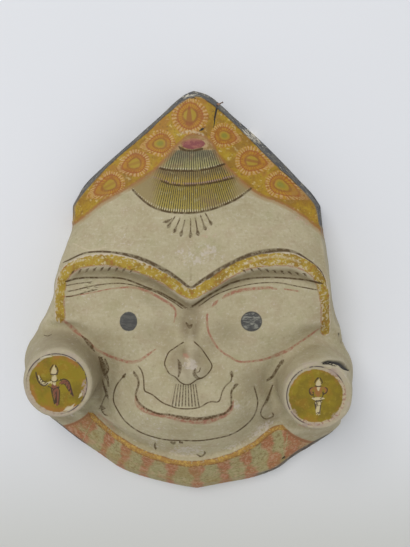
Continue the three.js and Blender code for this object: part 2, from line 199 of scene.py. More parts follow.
# %% Curves through the guide points
def ease(stations, values, at):
    """Smooth curve through values at the stations that never overshoots between them."""
    stations = np.asarray(stations, float)
    values = np.asarray(values, float)
    at = np.asarray(at, float)
    span = np.diff(stations)
    extra = (1,) * (values.ndim - 1)
    slope = np.diff(values, axis=0) / span.reshape(-1, *extra)
    turn = np.empty_like(values)
    turn[0] = slope[0]
    turn[-1] = slope[-1]
    product = slope[:-1] * slope[1:]
    total = slope[:-1] + slope[1:]
    safe = np.where(np.abs(total) < 1e-12, 1, total)
    turn[1:-1] = np.where(product > 0, 2 * product / safe, 0)
    i = np.clip(np.searchsorted(stations, at, side="left") - 1, 0, len(stations) - 2)
    width = span[i].reshape(-1, *extra)
    t = np.clip((at - stations[i]) / span[i], 0, 1).reshape(-1, *extra)
    return (
        values[i] * (2 * t**3 - 3 * t**2 + 1)
        + turn[i] * width * (t**3 - 2 * t**2 + t)
        + values[i + 1] * (3 * t**2 - 2 * t**3)
        + turn[i + 1] * width * (t**3 - t**2)
    )


def across_guide(points, middle, peaked, shares):
    """Points of a guide line at shares from -1 at its left end to 1 at its right end."""
    points = np.asarray(points, float)
    left = points[0, 0]
    right = points[-1, 0]
    across = np.where(
        shares < 0, middle + shares * (middle - left), middle + shares * (right - middle)
    )
    if peaked:
        top = int(np.argmin(np.abs(points[:, 0] - middle)))
        before = ease(points[:top + 1, 0], points[:top + 1, 1:], across)
        after = ease(points[top:, 0], points[top:, 1:], across)
        rest = np.where((across <= middle)[:, None], before, after)
    else:
        rest = ease(points[:, 0], points[:, 1:], across)
    return np.column_stack([across, rest])


def nose_rise(across, down):
    """Height of the nose above the sheet, in millimetres."""
    table = np.array(NOSE)
    middle, half, share = ease(table[:, 0], table[:, 1:], down.ravel()).T
    offset = np.abs(across.ravel() - middle) / half
    inside = (down.ravel() > table[0, 0]) & (down.ravel() < table[-1, 0]) & (offset < 1)
    dome = (1 - np.minimum(offset, 1) ** 2) ** 1.2
    return np.where(inside, NOSE_HEIGHT * share * dome, 0).reshape(down.shape)


even = np.linspace(-1, 1, COLUMNS + 1)
SHARES = even + 0.12 * np.sin(np.pi * even) / np.pi
STEPS = np.concatenate([
    span + np.arange(count) / count for span, count in enumerate(ROWS)
] + [[len(ROWS)]])
order = np.arange(len(GUIDES))
knots = np.stack([
    across_guide(points, MIDDLE[k], k in (0, len(GUIDES) - 1), SHARES)
    for k, points in enumerate(GUIDES)
])
sheet = ease(order, knots, STEPS)
sheet[..., 2] += nose_rise(sheet[..., 0], sheet[..., 1])
FRONT = from_view(sheet[..., 0], sheet[..., 1], sheet[..., 2])
rim_top = across_guide(CROWN_RIM, CROWN_RIM_MIDDLE, True, SHARES)
rim_foot = across_guide(CHIN_RIM, CHIN_RIM_MIDDLE, True, SHARES)
rim_left = ease(order, LEFT_RIM, STEPS)
rim_right = ease(order, RIGHT_RIM, STEPS)
RIM = {
    "top": from_view(rim_top[:, 0], rim_top[:, 1], rim_top[:, 2]),
    "foot": from_view(rim_foot[:, 0], rim_foot[:, 1], rim_foot[:, 2]),
    "left": from_view(rim_left[:, 0], rim_left[:, 1], np.zeros(len(STEPS))),
    "right": from_view(rim_right[:, 0], rim_right[:, 1], np.zeros(len(STEPS))),
}
print("face sheet", FRONT.shape, "highest", round(float(FRONT[..., 2].max()), 4))

# %% [markdown]
# The moulded body starts as a grid that is pulled over the guide net. Its border is then drawn
# down to the floor, a step at a time, as the side wall. The two ear knobs are turned shapes, so
# each is a profile spun about its axis. All three are closed solids at this stage, because the
# remesh that joins them needs an inside and an outside.

# %% The body
WALL_STEPS = 24
SINK = 0.008


def grid_cell(vertex):
    """Row and column of a grid vertex, from where create_grid put it."""
    column = round((vertex.co.x + 1) / 2 * COLUMNS)
    row = round((1 - vertex.co.y) / 2 * (len(STEPS) - 1))
    return row, column


def rim_point(row, column):
    """The point of the back edge that belongs to a border vertex."""
    if row == 0:
        return RIM["top"][column]
    if row == len(STEPS) - 1:
        return RIM["foot"][column]
    return RIM["left"][row] if column == 0 else RIM["right"][row]


body = bmesh.new()
bmesh.ops.create_grid(body, x_segments=COLUMNS, y_segments=len(STEPS) - 1, size=1)
key = body.verts.layers.int.new("cell")
for vertex in body.verts:
    row, column = grid_cell(vertex)
    vertex[key] = row * (COLUMNS + 1) + column
    vertex.co = FRONT[row, column]
ring = [edge for edge in body.edges if edge.is_boundary]
for step in range(1, WALL_STEPS + 2):
    grown = bmesh.ops.extrude_edge_only(body, edges=ring)["geom"]
    ring = [part for part in grown if isinstance(part, bmesh.types.BMEdge)]
    for vertex in (part for part in grown if isinstance(part, bmesh.types.BMVert)):
        row, column = divmod(vertex[key], COLUMNS + 1)
        start = Vector(FRONT[row, column])
        foot = Vector(rim_point(row, column))
        vertex.co = start.lerp(foot, min(1, step / WALL_STEPS))
        if step > WALL_STEPS:
            vertex.co.z = -SINK
bmesh.ops.contextual_create(body, geom=ring)
bmesh.ops.recalc_face_normals(body, faces=body.faces)
print("body", len(body.faces), "faces, closed", all(e.is_manifold for e in body.edges))

# %% The ear knobs
EAR_TOP = 0.108
EAR_FLARE_DROP = 0.070
LEFT_KNOB_VIEW = (57.8, 384.0)
RIGHT_KNOB_VIEW = (317.8, 396.0)
KNOB_HEIGHT = 108.0


def knob_centre(place):
    """Middle of a knob's top in metres, for its place in the view."""
    return from_view(np.array([place[0]]), np.array([place[1]]), np.array([KNOB_HEIGHT]))[0]


LEFT_EAR = knob_centre(LEFT_KNOB_VIEW)
RIGHT_EAR = knob_centre(RIGHT_KNOB_VIEW)
EARS = [(LEFT_EAR, (-0.003, 0.008)), (RIGHT_EAR, (0.0025, 0.0085))]
EAR_PROFILE = [
    (0, 107), (22, 107), (27.5, 107), (29, 108), (30, 107.4), (31, 105), (32.5, 96.1),
    (34.2, 77.9), (36, 59.7), (38.4, 47.8), (40.2, 38), (41, 0), (41, -8), (0, -8),
]


def ear_middle(ear, height):
    """Where an ear knob's middle lies at a height: the knob leans over towards its foot."""
    centre, lean = ear
    share = np.clip((EAR_TOP - height) / EAR_FLARE_DROP, 0, 1)
    return centre[0] + lean[0] * share, centre[1] + lean[1] * share


def turned(profile, ear, segments):
    """A closed round solid with the ear knob's profile, that leans as the knob does."""
    shape = bmesh.new()
    points = [shape.verts.new((r / 1000, 0, z / 1000)) for r, z in profile]
    edges = [shape.edges.new(pair) for pair in zip(points, points[1:])]
    bmesh.ops.spin(
        shape, geom=points + edges, cent=(0, 0, 0), axis=(0, 0, 1), dvec=(0, 0, 0),
        angle=math.tau, steps=segments, use_merge=True, use_duplicate=False,
    )
    bmesh.ops.remove_doubles(shape, verts=shape.verts, dist=1e-6)
    bmesh.ops.recalc_face_normals(shape, faces=shape.faces)
    for vertex in shape.verts:
        across, along = ear_middle(ear, vertex.co.z)
        vertex.co.x += across
        vertex.co.y += along
    return shape


def as_object(shape, name):
    """A Blender object from a bmesh, at the origin."""
    mesh = bpy.data.meshes.new(name)
    shape.to_mesh(mesh)
    shape.free()
    piece = bpy.data.objects.new(name, mesh)
    bpy.context.collection.objects.link(piece)
    return piece


def joined(parts):
    """One bmesh with the faces of several, which are freed."""
    whole = bmesh.new()
    for part in parts:
        holder = bpy.data.meshes.new("holder")
        part.to_mesh(holder)
        part.free()
        whole.from_mesh(holder)
        bpy.data.meshes.remove(holder)
    return whole


KNOB_FACETS = 96
knobs = [turned(EAR_PROFILE, ear, KNOB_FACETS) for ear in EARS]
mask = as_object(joined([body, *knobs]), "painted_mask")
print("parts joined", len(mask.data.polygons), "faces")

# %% [markdown]
# On the real mask the knobs were built up in the same wet pulp as the face, so there is no seam
# where they meet. A voxel remesh gives that: it wraps one even skin round everything. The skin
# is then cut off level with the floor.

# %% One skin
VOXEL = 0.00165
remesh = mask.modifiers.new("skin", "REMESH")
remesh.mode = "VOXEL"
remesh.voxel_size = VOXEL
skinned = bpy.data.meshes.new_from_object(
    mask.evaluated_get(bpy.context.evaluated_depsgraph_get())
)
mask.modifiers.clear()
mask.data = skinned
skin = bmesh.new()
skin.from_mesh(skinned)
bmesh.ops.bisect_plane(
    skin, geom=skin.verts[:] + skin.edges[:] + skin.faces[:], dist=1e-6,
    plane_co=(0, 0, 0), plane_no=(0, 0, 1), clear_inner=True,
)
print("skin", len(skin.verts), "vertices", len(skin.faces), "faces")


# %% Numbers from a bmesh and back
def read_points(shape):
    """Vertex positions of a bmesh as an array."""
    return np.array([vertex.co for vertex in shape.verts])


def write_points(shape, points):
    """Moves the vertices of a bmesh to the rows of an array."""
    for vertex, point in zip(shape.verts, points):
        vertex.co = point


def edge_pairs(shape):
    """Vertex numbers at the two ends of every edge."""
    shape.verts.index_update()
    return np.array([[end.index for end in edge.verts] for edge in shape.edges])


def relax(points, pairs, weight, rounds):
    """Moves each point towards the middle of its neighbours, by its weight, again and again."""
    first, second = pairs.T
    number = len(points)
    count = np.bincount(first, minlength=number) + np.bincount(second, minlength=number)
    points = points.copy()
    for _ in range(rounds):
        middle = np.stack([
            np.bincount(first, points[second, k], number)
            + np.bincount(second, points[first, k], number)
            for k in range(3)
        ], axis=1) / count[:, None]
        points += weight[:, None] * (middle - points)
    return points


def rise(value, low, high):
    """Smooth step from 0 at low to 1 at high."""
    t = np.clip((value - low) / (high - low), 0, 1)
    return t * t * (3 - 2 * t)


def ear_radius(height):
    """Radius of an ear knob's outside at a height, both in metres."""
    table = np.array(EAR_PROFILE[5:12][::-1], float) / 1000
    return np.interp(height, table[:, 1], table[:, 0])


# %% Soft joins round the knobs, and the slight wobble of hand-laid paper
SKIN_GAP = 0.0008
SEAM_TOP = 0.092
KNOB_REACH = 0.07
points = read_points(skin)
pairs = edge_pairs(skin)
on_floor = points[:, 2] < 1e-5
near_join = np.zeros(len(points))
for ear in EARS:
    middle_x, middle_y = ear_middle(ear, points[:, 2])
    plan = np.hypot(points[:, 0] - middle_x, points[:, 1] - middle_y)
    gap = plan - ear_radius(points[:, 2])
    on_knob = np.abs(gap) < SKIN_GAP
    off_knob = gap > SKIN_GAP
    a, b = pairs.T
    crossing = (on_knob[a] & off_knob[b]) | (on_knob[b] & off_knob[a])
    seam = points[np.unique(pairs[crossing])]
    seam = seam[seam[:, 2] < SEAM_TOP]
    close = plan < KNOB_REACH
    distance = np.full(len(points), 1.0)
    spots = points[close]
    best = np.full(len(spots), 1.0)
    for chunk in np.array_split(seam, max(1, len(seam) // 40)):
        if len(chunk):
            gaps = np.linalg.norm(spots[:, None] - chunk[None], axis=2)
            best = np.minimum(best, gaps.min(axis=1))
    distance[close] = best
    near_join = np.maximum(near_join, 1 - rise(distance, 0.004, 0.011))
points = relax(points, pairs, 0.6 * near_join * ~on_floor, 90)
points = relax(points, pairs, 0.5 * ~on_floor, 2)
print("join vertices", int((near_join > 0.5).sum()))
write_points(skin, points)
skin.normal_update()
normals = np.array([vertex.normal for vertex in skin.verts])

# %% [markdown]
# Everything painted is noted as brush strokes: a few points of
# [across, down, half width] each, in view units. For every vertex the script works out how far
# it lies to the left or right of the nearest stroke. That distance changes evenly over the
# surface, so the shader can cut a crisp line from it, even between two vertices.

# %% Strokes as distances
ACROSS, DOWN = to_view(points)
FAR = 60.0
CHUNK = 6000


def smooth_path(stroke, pace=1.3):
    """Closely spaced points of a curve through the points of a stroke."""
    spots = np.array(stroke, float)
    padded = np.vstack([2 * spots[0] - spots[1], spots, 2 * spots[-1] - spots[-2]])
    path = []
    for k in range(len(spots) - 1):
        before, start, end, after = padded[k:k + 4]
        length = math.hypot(*(end - start)[:2])
        for t in np.arange(0, 1, 1 / max(2, math.ceil(length / pace))):
            path.append(0.5 * (
                2 * start + (end - before) * t
                + (2 * before - 5 * start + 4 * end - after) * t**2
                + (3 * start - before - 3 * end + after) * t**3
            ))
    path.append(spots[-1])
    return np.array(path)


def beside(path, across, down):
    """Signed distance to a path, its half width there, and the share along it."""
    start = path[:-1, :2]
    along = path[1:, :2] - start
    square = np.maximum((along ** 2).sum(axis=1), 1e-9)
    spots = np.column_stack([across, down])
    signed = np.empty(len(spots))
    half = np.empty(len(spots))
    share = np.empty(len(spots))
    for low in range(0, len(spots), CHUNK):
        part = spots[low:low + CHUNK]
        offset = part[:, None] - start[None]
        t = np.clip((offset * along).sum(axis=2) / square, 0, 1)
        gap = offset - t[..., None] * along
        best = (gap ** 2).sum(axis=2).argmin(axis=1)
        rows = np.arange(len(part))
        gap = gap[rows, best]
        t = t[rows, best]
        turn = along[best, 0] * gap[:, 1] - along[best, 1] * gap[:, 0]
        signed[low:low + CHUNK] = np.hypot(gap[:, 0], gap[:, 1]) * np.where(turn < 0, -1, 1)
        half[low:low + CHUNK] = path[best, 2] * (1 - t) + path[best + 1, 2] * t
        share[low:low + CHUNK] = (best + t) / len(along)
    return signed, half, share


def strokes_field(strokes, margin=9):
    """For every vertex: distance in half widths, distance beyond the edge, share along."""
    field = np.full((len(ACROSS), 3), FAR)
    for stroke in strokes:
        path = smooth_path(stroke)
        low = path[:, :2].min(axis=0) - margin
        high = path[:, :2].max(axis=0) + margin
        inside = (ACROSS > low[0]) & (ACROSS < high[0]) & (DOWN > low[1]) & (DOWN < high[1])
        pick = np.flatnonzero(inside & FACING)
        if not len(pick):
            continue
        signed, half, share = beside(path, ACROSS[pick], DOWN[pick])
        half = np.maximum(half, 0.02)
        beyond = np.abs(signed) - half
        better = beyond < field[pick, 1]
        chosen = pick[better]
        field[chosen, 0] = np.clip(signed / half, -FAR, FAR)[better]
        field[chosen, 1] = beyond[better]
        field[chosen, 2] = share[better]
    return field


FACING = (normals @ -LOOK) > -0.05
print("vertices that face the viewer", int(FACING.sum()))


def even_width(points_list, half, taper=0.02):
    """A stroke of one half width that tapers off at both ends."""
    spots = [list(p) for p in points_list]
    first, second = np.array(spots[0], float), np.array(spots[1], float)
    last, former = np.array(spots[-1], float), np.array(spots[-2], float)
    start = first + (second - first) * min(0.5, 1.5 / max(0.1, math.dist(first, second)))
    end = last + (former - last) * min(0.5, 1.5 / max(0.1, math.dist(last, former)))
    return (
        [[*first, taper], [*start, half]]
        + [[*p, half] for p in spots[1:-1]]
        + [[*end, half], [*last, taper]]
    )


# %% Black brush lines
BROW_LINE = [
    [62, 263, 0.02], [66, 261, 0.5], [84, 253, 0.7], [98, 251.5, 0.8], [112, 252.3, 0.9],
    [126, 254.5, 1.2], [140, 258.3, 1.5], [154, 264.5, 1.6], [168, 272.3, 1.7],
    [180, 280.5, 1.4], [190.5, 287.5, 1], [200, 282, 1.3], [210, 276, 1.8], [221, 268.7, 1.7],
    [233, 262, 1.5], [245, 256.5, 1.6], [258, 252.7, 1.8], [272, 250.6, 1.8], [286, 250.4, 1.3],
    [298, 253.5, 0.9], [309, 260, 0.6], [318, 267.5, 0.5], [323, 275, 0.4], [326.5, 288, 0.02],
]
LID_LEFT = [(65, 281.7), (78, 278.5), (95, 277.5), (121.7, 278.3), (145, 286.7), (165, 295),
            (186.6, 308.7)]
LID_RIGHT = [(192, 306.7), (211.7, 293.3), (231.7, 283.3), (251.7, 278.3), (278, 277.3),
             (305, 280), (321.7, 283.3)]
LOW_LID_LEFT = [(78.6, 289), (98, 285), (123.5, 283.5), (151.5, 290.5), (168.4, 299),
                (182.4, 308.7)]
LOW_LID_RIGHT = [(199, 306), (219, 293.3), (247, 284.8), (275, 282.6), (297.5, 286.3),
                 (317, 290)]
NOSE_LINE = [
    (184.5, 341.5), (179.6, 344.5), (173.8, 348.5), (169, 352), (166, 358), (164.4, 364),
    (167, 370.5), (170, 374.4), (175.5, 377.5), (180, 382), (185.4, 384.4), (190.7, 383.8),
    (196, 380), (198.8, 378.8), (204, 377), (208.6, 373), (212, 366), (207.7, 358),
    (201.4, 349), (196, 343.6), (193, 340.5),
]
CHIN_ARC = [
    (124.9, 374.6), (116.5, 386), (113.6, 400), (118, 411), (126.3, 422.4), (140.3, 432.2),
    (162.8, 439.2), (190.8, 441), (219, 437.8), (238.5, 430.8), (252.6, 418), (257.6, 402.7),
    (254, 386),
]
LIP_TOP = [
    (137.6, 365), (141.6, 371), (143.4, 379), (144.3, 390), (147.9, 392.7), (153, 395.4),
    (158.6, 400), (164, 403.5), (168.4, 405.2), (176.4, 408), (185.4, 408.8), (194.3, 408.3),
    (201.4, 406.5), (206.8, 403), (212, 401.6), (217.5, 402), (220.2, 399), (222, 392.7),
    (225.5, 386.4), (231, 381), (232.2, 374),
]
LIP_FOOT = [
    (133.6, 372), (137, 376.6), (138.5, 383), (137.6, 388), (135.8, 394.5), (138, 401.6),
    (142.5, 406), (148, 409.6), (158.6, 413.7), (169.3, 414.6), (180, 417.2), (190.7, 418.6),
    (201.4, 418.6), (210.4, 417.7), (217.5, 415), (224.6, 413.7), (231, 407), (231.3, 399),
    (231.8, 391), (236.3, 385.5),
]
FAN_TOP = [(158.5, 168), (172, 170.5), (191, 171), (208, 169), (224.5, 164)]
FAN_MIDDLE = [(160, 180.5), (172, 184.5), (191, 185.5), (212, 183), (233, 178)]
FAN_FOOT = [
    (132, 189), (138, 195.5), (147, 203.5), (157, 209), (172, 212.4), (191, 213),
    (212, 209.5), (233, 201), (244, 194), (252.5, 187),
]
RAY_STARTS = [(176, 215), (181, 216), (185.5, 218), (190.6, 218), (195, 216), (200, 214),
              (204.5, 212)]
RAY_ENDS = [(168.5, 226.5), (174.5, 231), (181, 234.5), (190.5, 236), (198, 234),
            (205, 228.5), (211, 223.5)]

ink_a = strokes_field([
    BROW_LINE,
    even_width(LID_LEFT, 0.75),
    even_width(LID_RIGHT, 0.75),
    even_width(NOSE_LINE, 0.5),
    even_width(CHIN_ARC, 0.55),
    even_width(LIP_TOP, 0.55),
    even_width(FAN_TOP, 0.8),
    even_width(FAN_MIDDLE, 0.75),
    even_width(FAN_FOOT, 0.8),
    even_width([(179.5, 148.6), (186, 150.4), (194, 150.8), (204.5, 148.6)], 0.8),
])

rays = []
for (a0, d0), (a1, d1) in zip(RAY_STARTS, RAY_ENDS):
    rays.append([
        [a0, d0, 0.02], [a0 * 0.8 + a1 * 0.2, d0 * 0.8 + d1 * 0.2, 0.6],
        [a0 * 0.3 + a1 * 0.7, d0 * 0.3 + d1 * 0.7, 0.6],
        [a0 * 0.05 + a1 * 0.95, d0 * 0.05 + d1 * 0.95, 1.6], [a1, d1, 1.4],
    ])
lashes = []
for k in range(9):
    a = 71 + 7.4 * k
    d = 273.5 - 6.5 * math.sin(math.pi * (k + 2) / 14)
    lashes.append([[a, d + 3.4, 0.3], [a + 1, d + 2, 1.1], [a + 3, d, 0.3]])
for k in range(9):
    a = 242 + 7.6 * k
    d = 271.2 + 0.9 * abs(k - 2)
    lashes.append([[a, d - 3, 0.2], [a + 2, d - 2.4, 1], [a + 4, d - 0.4, 0.2]])
ink_b = strokes_field([
    even_width(LOW_LID_LEFT, 0.5),
    even_width(LOW_LID_RIGHT, 0.5),
    even_width(LIP_FOOT, 0.85),
    [[170, 414.6, 0.3], [182, 417.6, 1.5], [196, 418.8, 1.3], [214, 416.6, 1.4], [226, 412, 0.3]],
    even_width([(64.5, 286), (76, 283.8), (92, 281.8)], 0.4),
    even_width([(66, 291.8), (78, 289.4), (94, 285.6)], 0.5),
    even_width([(64.6, 297), (74, 295.6), (88, 291.6), (98, 289)], 0.55),
    even_width([(43, 335), (48, 336), (53, 333.6)], 0.35),
    [[163.6, 222.4, 0.5], [167, 221.4, 1.5], [170.6, 219.6, 0.5]],
    [[99, 357, 0.4], [101.6, 361, 1.5], [105, 366, 1.1], [108, 369, 0.4]],
    [[101, 364, 0.5], [104, 371, 1.6], [107.6, 379, 1.2], [108.4, 381, 0.4]],
    [[102.4, 380, 0.3], [104.6, 388, 1], [107.6, 396, 0.9], [108, 399, 0.3]],
    [[99.4, 408.6, 0.4], [102, 407, 1.1], [104.4, 408.4, 0.5]],
    [[179.4, 147.6, 0.8], [181.6, 149, 1.5], [184, 149.8, 0.8]],
    [[281, 364, 0.4], [276.6, 370, 1.1], [272, 377, 1.1], [266.6, 381.4, 0.4]],
    [[272.6, 385, 0.4], [269, 395, 1], [265.6, 402, 1.1], [264, 405, 0.3]],
    [[82, 336, 0.4], [87, 341, 1.6], [91, 346, 1.7], [94.4, 351, 0.4]],
    [[231.6, 373, 1.5], [232, 375.4, 1.3]], [[235, 386, 1.3], [237, 384.6, 1.1]],
    [[123.6, 376.6, 1.3], [125.2, 374.4, 0.9]], [[134, 372.6, 1], [135.4, 376, 0.9]],
    even_width([(101, 356), (104, 366), (106.5, 374), (109, 388)], 0.8),
    even_width([(104.5, 358), (108.5, 368), (107, 374)], 0.6),
    even_width([(108, 391), (103.5, 400), (101, 408), (104, 414), (108, 416)], 0.5),
    even_width([(283, 361), (277, 367), (274, 374), (266, 381)], 0.6),
    even_width([(273, 384), (268, 397), (262, 408), (261, 415), (266, 419), (273, 416),
                (272, 411)], 0.55),
    [[281.3, 362.6, 1.4], [282.4, 361.2, 1.4]],
    even_width([(185.5, 322), (190, 328), (192.5, 323)], 0.8),
    even_width([(155.4, 442), (154.8, 446), (156.5, 450)], 0.8),
    even_width([(196, 454), (201, 456.4), (205, 453), (204, 450.4)], 0.7),
    even_width([(170, 441.6), (173.6, 443.6), (176.6, 441.4)], 1),
    even_width([(179, 441), (180.6, 444)], 0.9), even_width([(183, 441.6), (182.4, 444)], 0.7),
    [[178, 359.6, 0.4], [179.6, 364, 1.5], [179.6, 370, 1.4], [178.4, 376.6, 0.7]],
    [[195, 369.6, 0.8], [194.2, 374, 1.5], [198, 378, 1.1], [202, 378, 0.4]],
    even_width([(200.6, 366.5), (199.5, 371), (196.5, 373.5)], 0.4),
] + rays + lashes)
print("rays", len(rays), "lashes", len(lashes), "inked", int((ink_b[:, 1] < 0).sum()))

# %% Rust-red lines, and the gold of the brow
RED_EYE_LEFT = [
    [62, 296.6, 0.4], [73, 296, 0.5], [92, 292.5, 0.5], [113, 288.5, 0.6], [132, 287.4, 0.9],
    [144, 290, 1.1], [153, 294, 1.1], [164, 300.4, 1.2], [171, 305, 1.1], [175, 309.4, 0.8],
    [175.7, 314.6, 0.9], [174, 321.7, 0.4],
]
RED_UNDER_LEFT = [
    [63.8, 320.6, 0.8], [69, 325, 1.5], [76, 331.4, 1.5], [83, 337, 0.8], [89, 341.6, 0.7],
    [96, 349, 0.9], [107, 355, 1.2], [121, 360.2, 1.2], [130, 362, 1.3], [139.5, 360.5, 1.1],
    [147.6, 355, 1], [155.6, 349, 0.4],
]
RED_EYE_RIGHT = [
    [223.6, 297.4, 1], [228, 294.6, 1.4], [238, 291, 1.4], [252, 288.8, 1.3], [268, 287.8, 1.2],
    [276, 289, 0.7],
]
RED_DAB_RIGHT = [[212.4, 306.4, 0.8], [215, 303.4, 1.3], [217.6, 300.8, 0.8]]
RED_FAINT_RIGHT = [(283, 288.8), (291, 290), (300, 291.4)]
RED_UNDER_RIGHT = [(207.6, 312), (207, 318), (208, 329.5), (213, 341), (220, 350), (230, 357),
                   (240, 361.7), (253.5, 361), (265, 359), (274, 355.6)]
RED_CHEEK_RIGHT = [[268, 358.4, 0.6], [277.6, 354.4, 1.5], [289, 349.6, 1.4], [294, 346, 0.9],
                   [302, 340.6, 0.9], [312, 333.4, 0.9], [319, 328.8, 0.4]]
RED_LIP = [
    [135.4, 395, 0.4], [137, 402.4, 1.7], [141.6, 408.4, 1.9], [150, 412.4, 1.8],
    [160, 415.2, 1.6], [170, 416.8, 1.7], [180, 419.4, 2.2], [191, 420.8, 2.7], [201, 421.2, 2.8],
    [210, 420.4, 2.5], [217, 417.8, 2.1], [225, 414.6, 2], [231, 408.4, 1.9], [233.6, 401, 0.5],
]
ink_red = strokes_field([
    RED_EYE_LEFT,
    RED_UNDER_LEFT,
    RED_EYE_RIGHT,
    RED_DAB_RIGHT,
    even_width(RED_FAINT_RIGHT, 0.6),
    even_width(RED_UNDER_RIGHT, 0.9),
    RED_CHEEK_RIGHT,
    RED_LIP,
])
BROW_GOLD = [
    [60.2, 317.6, 4.2], [60.1, 312, 4.1], [59.8, 304, 3.9], [60.6, 290, 4], [63.5, 277, 4.4],
    [71, 267.5, 4.6], [84, 261.8, 4.6], [98, 260, 4.8], [112, 260.3, 5], [126, 263, 5.2],
    [140, 267, 5], [154, 273.5, 4.8], [168, 281, 4.6], [180, 288.5, 4.4], [191, 294, 4.2],
    [200, 290, 4.3], [210, 284, 4.6], [222, 276, 5], [235, 268.5, 5.2], [248, 263, 5.4],
    [262, 260, 5.6], [276, 259, 5.6], [290, 259.7, 5.6], [303, 263.5, 5.2], [313, 270, 4.6],
    [319.5, 279, 4.4], [323, 290, 4.2], [325.2, 304, 3.9], [325.6, 318, 3.8],
    [325.2, 330.6, 4],
]
gold = strokes_field([BROW_GOLD])

# %% Tears and holes, and the little dancers on the ear discs
TEAR = [[321.5, 361.6, 0.3], [328, 360.8, 1.2], [334, 361.6, 1.6], [339.5, 363.2, 2.3],
        [344, 367, 2.4], [348.5, 370, 0.6]]
CRACK = [[218, 101, 0.8], [217.2, 106, 1], [216, 112, 0.9], [215, 117, 0.8],
         [214.4, 124, 0.4], [213.4, 128, 0.2]]
# These strokes carve the tear, the cracks and the small holes, which are later painted near black as
# painted shade.
shaded_holes = strokes_field([
    TEAR,
    CRACK,
    even_width([(321.5, 363.5), (329, 363.4), (336, 365.6)], 0.5),
    [[199.6, 130.8, 0.4], [202, 129.3, 1.3], [204.2, 128, 0.4]],
    [[339, 334.4, 0.9], [339.6, 336.2, 1]],
    [[341.2, 340.2, 0.8], [341.6, 342, 0.9]],
    [[282.8, 458.8, 0.8], [284.6, 457.6, 1.1]],
    [[54, 270.5, 0.7], [54.3, 271.5, 0.7]],
    [[190.5, 98.5, 0.3], [194, 97.3, 0.6], [196, 99.5, 0.2]],
])
figure_line = strokes_field([
    even_width([(54, 363.6), (50.4, 369), (49.8, 373)], 0.45),
    even_width([(54.6, 363.6), (57.6, 369), (58.4, 373)], 0.45),
    even_width([(48.8, 373.8), (54, 374.6), (59, 373.8)], 0.5),
    even_width([(49.8, 377.6), (51, 380.8), (54, 382), (57.4, 380.6), (58.6, 377.4)], 0.45),
    even_width([(49, 382.4), (44, 386), (39, 382.6), (36.8, 377), (35.6, 370.5)], 0.55),
    even_width([(47.6, 379.6), (44.4, 382), (41.4, 379.4), (39.6, 375)], 0.35),
    even_width([(59.5, 381), (64, 379), (69, 382), (71.4, 390), (73.6, 397.5)], 0.55),
    even_width([(60, 384.6), (64.4, 384), (67.6, 389), (72.6, 397)], 0.35),
    even_width([(51, 388.6), (52.6, 396), (55, 405.6)], 0.5),
    even_width([(59.4, 388.2), (59.4, 396), (58.6, 405.4)], 0.5),
    even_width([(48.4, 386.4), (54, 389), (60.4, 386.2)], 0.5),
    even_width([(55.4, 391), (56.2, 404)], 0.3),
    even_width([(318.6, 376.6), (315, 381.4), (314.4, 384.6)], 0.45),
    even_width([(319.4, 376.6), (322, 381.2), (322.6, 384.6)], 0.45),
    even_width([(313.6, 385.6), (318.4, 386.6), (323.4, 385.6)], 0.5),
    even_width([(312.6, 386.6), (309.4, 389.6), (309.8, 393.6), (313, 396.2)], 0.5),
    even_width([(324.4, 386.6), (327.4, 389), (326.6, 392.6), (323.4, 394.4)], 0.5),
    even_width([(313.6, 390.4), (313.4, 395.6), (315.2, 399.4)], 0.4),
    even_width([(322.6, 390.4), (323, 395.4), (321.4, 399.4)], 0.4),
    even_width([(312.8, 399.6), (317.8, 401), (323.4, 399.4)], 0.5),
    even_width([(314.6, 402), (315.8, 409), (316.4, 415)], 0.45),
    even_width([(321, 402), (320.2, 409), (319.2, 415)], 0.45),
    even_width([(317.8, 402), (317.8, 413)], 0.3),
])
figure_red = strokes_field([
    [[55.2, 389, 3.4], [56.4, 396, 2.8], [57, 404, 1.4]],
    [[61, 382.6, 1.5], [66, 382, 2], [70, 389, 1.8], [72.8, 396, 0.6]],
    [[54, 386.2, 2.6], [54.2, 387.2, 3]],
    [[318.3, 388.4, 3.6], [318.2, 391, 3], [318, 394, 2.6]],
    [[312.4, 388.2, 1.3], [310.4, 390.4, 1.4], [311, 393.4, 1.1]],
    [[324.6, 388.2, 1.3], [326.6, 390, 1.3], [325.6, 392.6, 1]],
])
figure_pale = strokes_field([
    [[54.2, 366, 0.6], [54.1, 369.6, 2.2], [54.1, 372.4, 3.2]],
    [[54.2, 378.4, 2.6], [54.2, 379.4, 2.4]],
    [[50, 382, 0.8], [45, 384.4, 1.4], [41, 381.4, 1.3], [38.6, 376, 0.6]],
    [[54, 382, 1.6], [54.2, 383.4, 1.6]],
    [[318.9, 379, 0.6], [318.7, 381.8, 2], [318.5, 383.8, 2.8]],
    [[318.4, 388.4, 1.6], [318.4, 389, 1.4]],
    [[313.4, 398.6, 1], [318, 399.4, 2.2], [323, 398.4, 1]],
    [[316, 402, 1], [316.4, 408, 1], [316.6, 414, 0.6]],
    [[320, 402, 1], [319.8, 408, 1], [319.4, 414, 0.6]],
])
rub_marks = strokes_field([
    *([[a, 131 + 0.02 * (a - 191) ** 2, 0.9], [a + 1, 132 + 0.02 * (a - 190) ** 2, 1.1]]
      for a in range(178, 206, 4)),
    even_width([(200, 252), (206, 249), (213, 251)], 1.2),
    even_width([(203, 256), (210, 254)], 0.9),
    even_width([(181, 262), (188, 260)], 0.8),
    even_width([(184, 357), (189, 362), (187, 368)], 1.4),
    even_width([(240, 118), (250, 128), (262, 142)], 1.0),
    even_width([(74, 244), (90, 250), (106, 247)], 0.7),
    even_width([(243, 264), (262, 258), (282, 257), (300, 262)], 1.2),
    even_width([(168, 452), (182, 456), (198, 456)], 1.0),
])
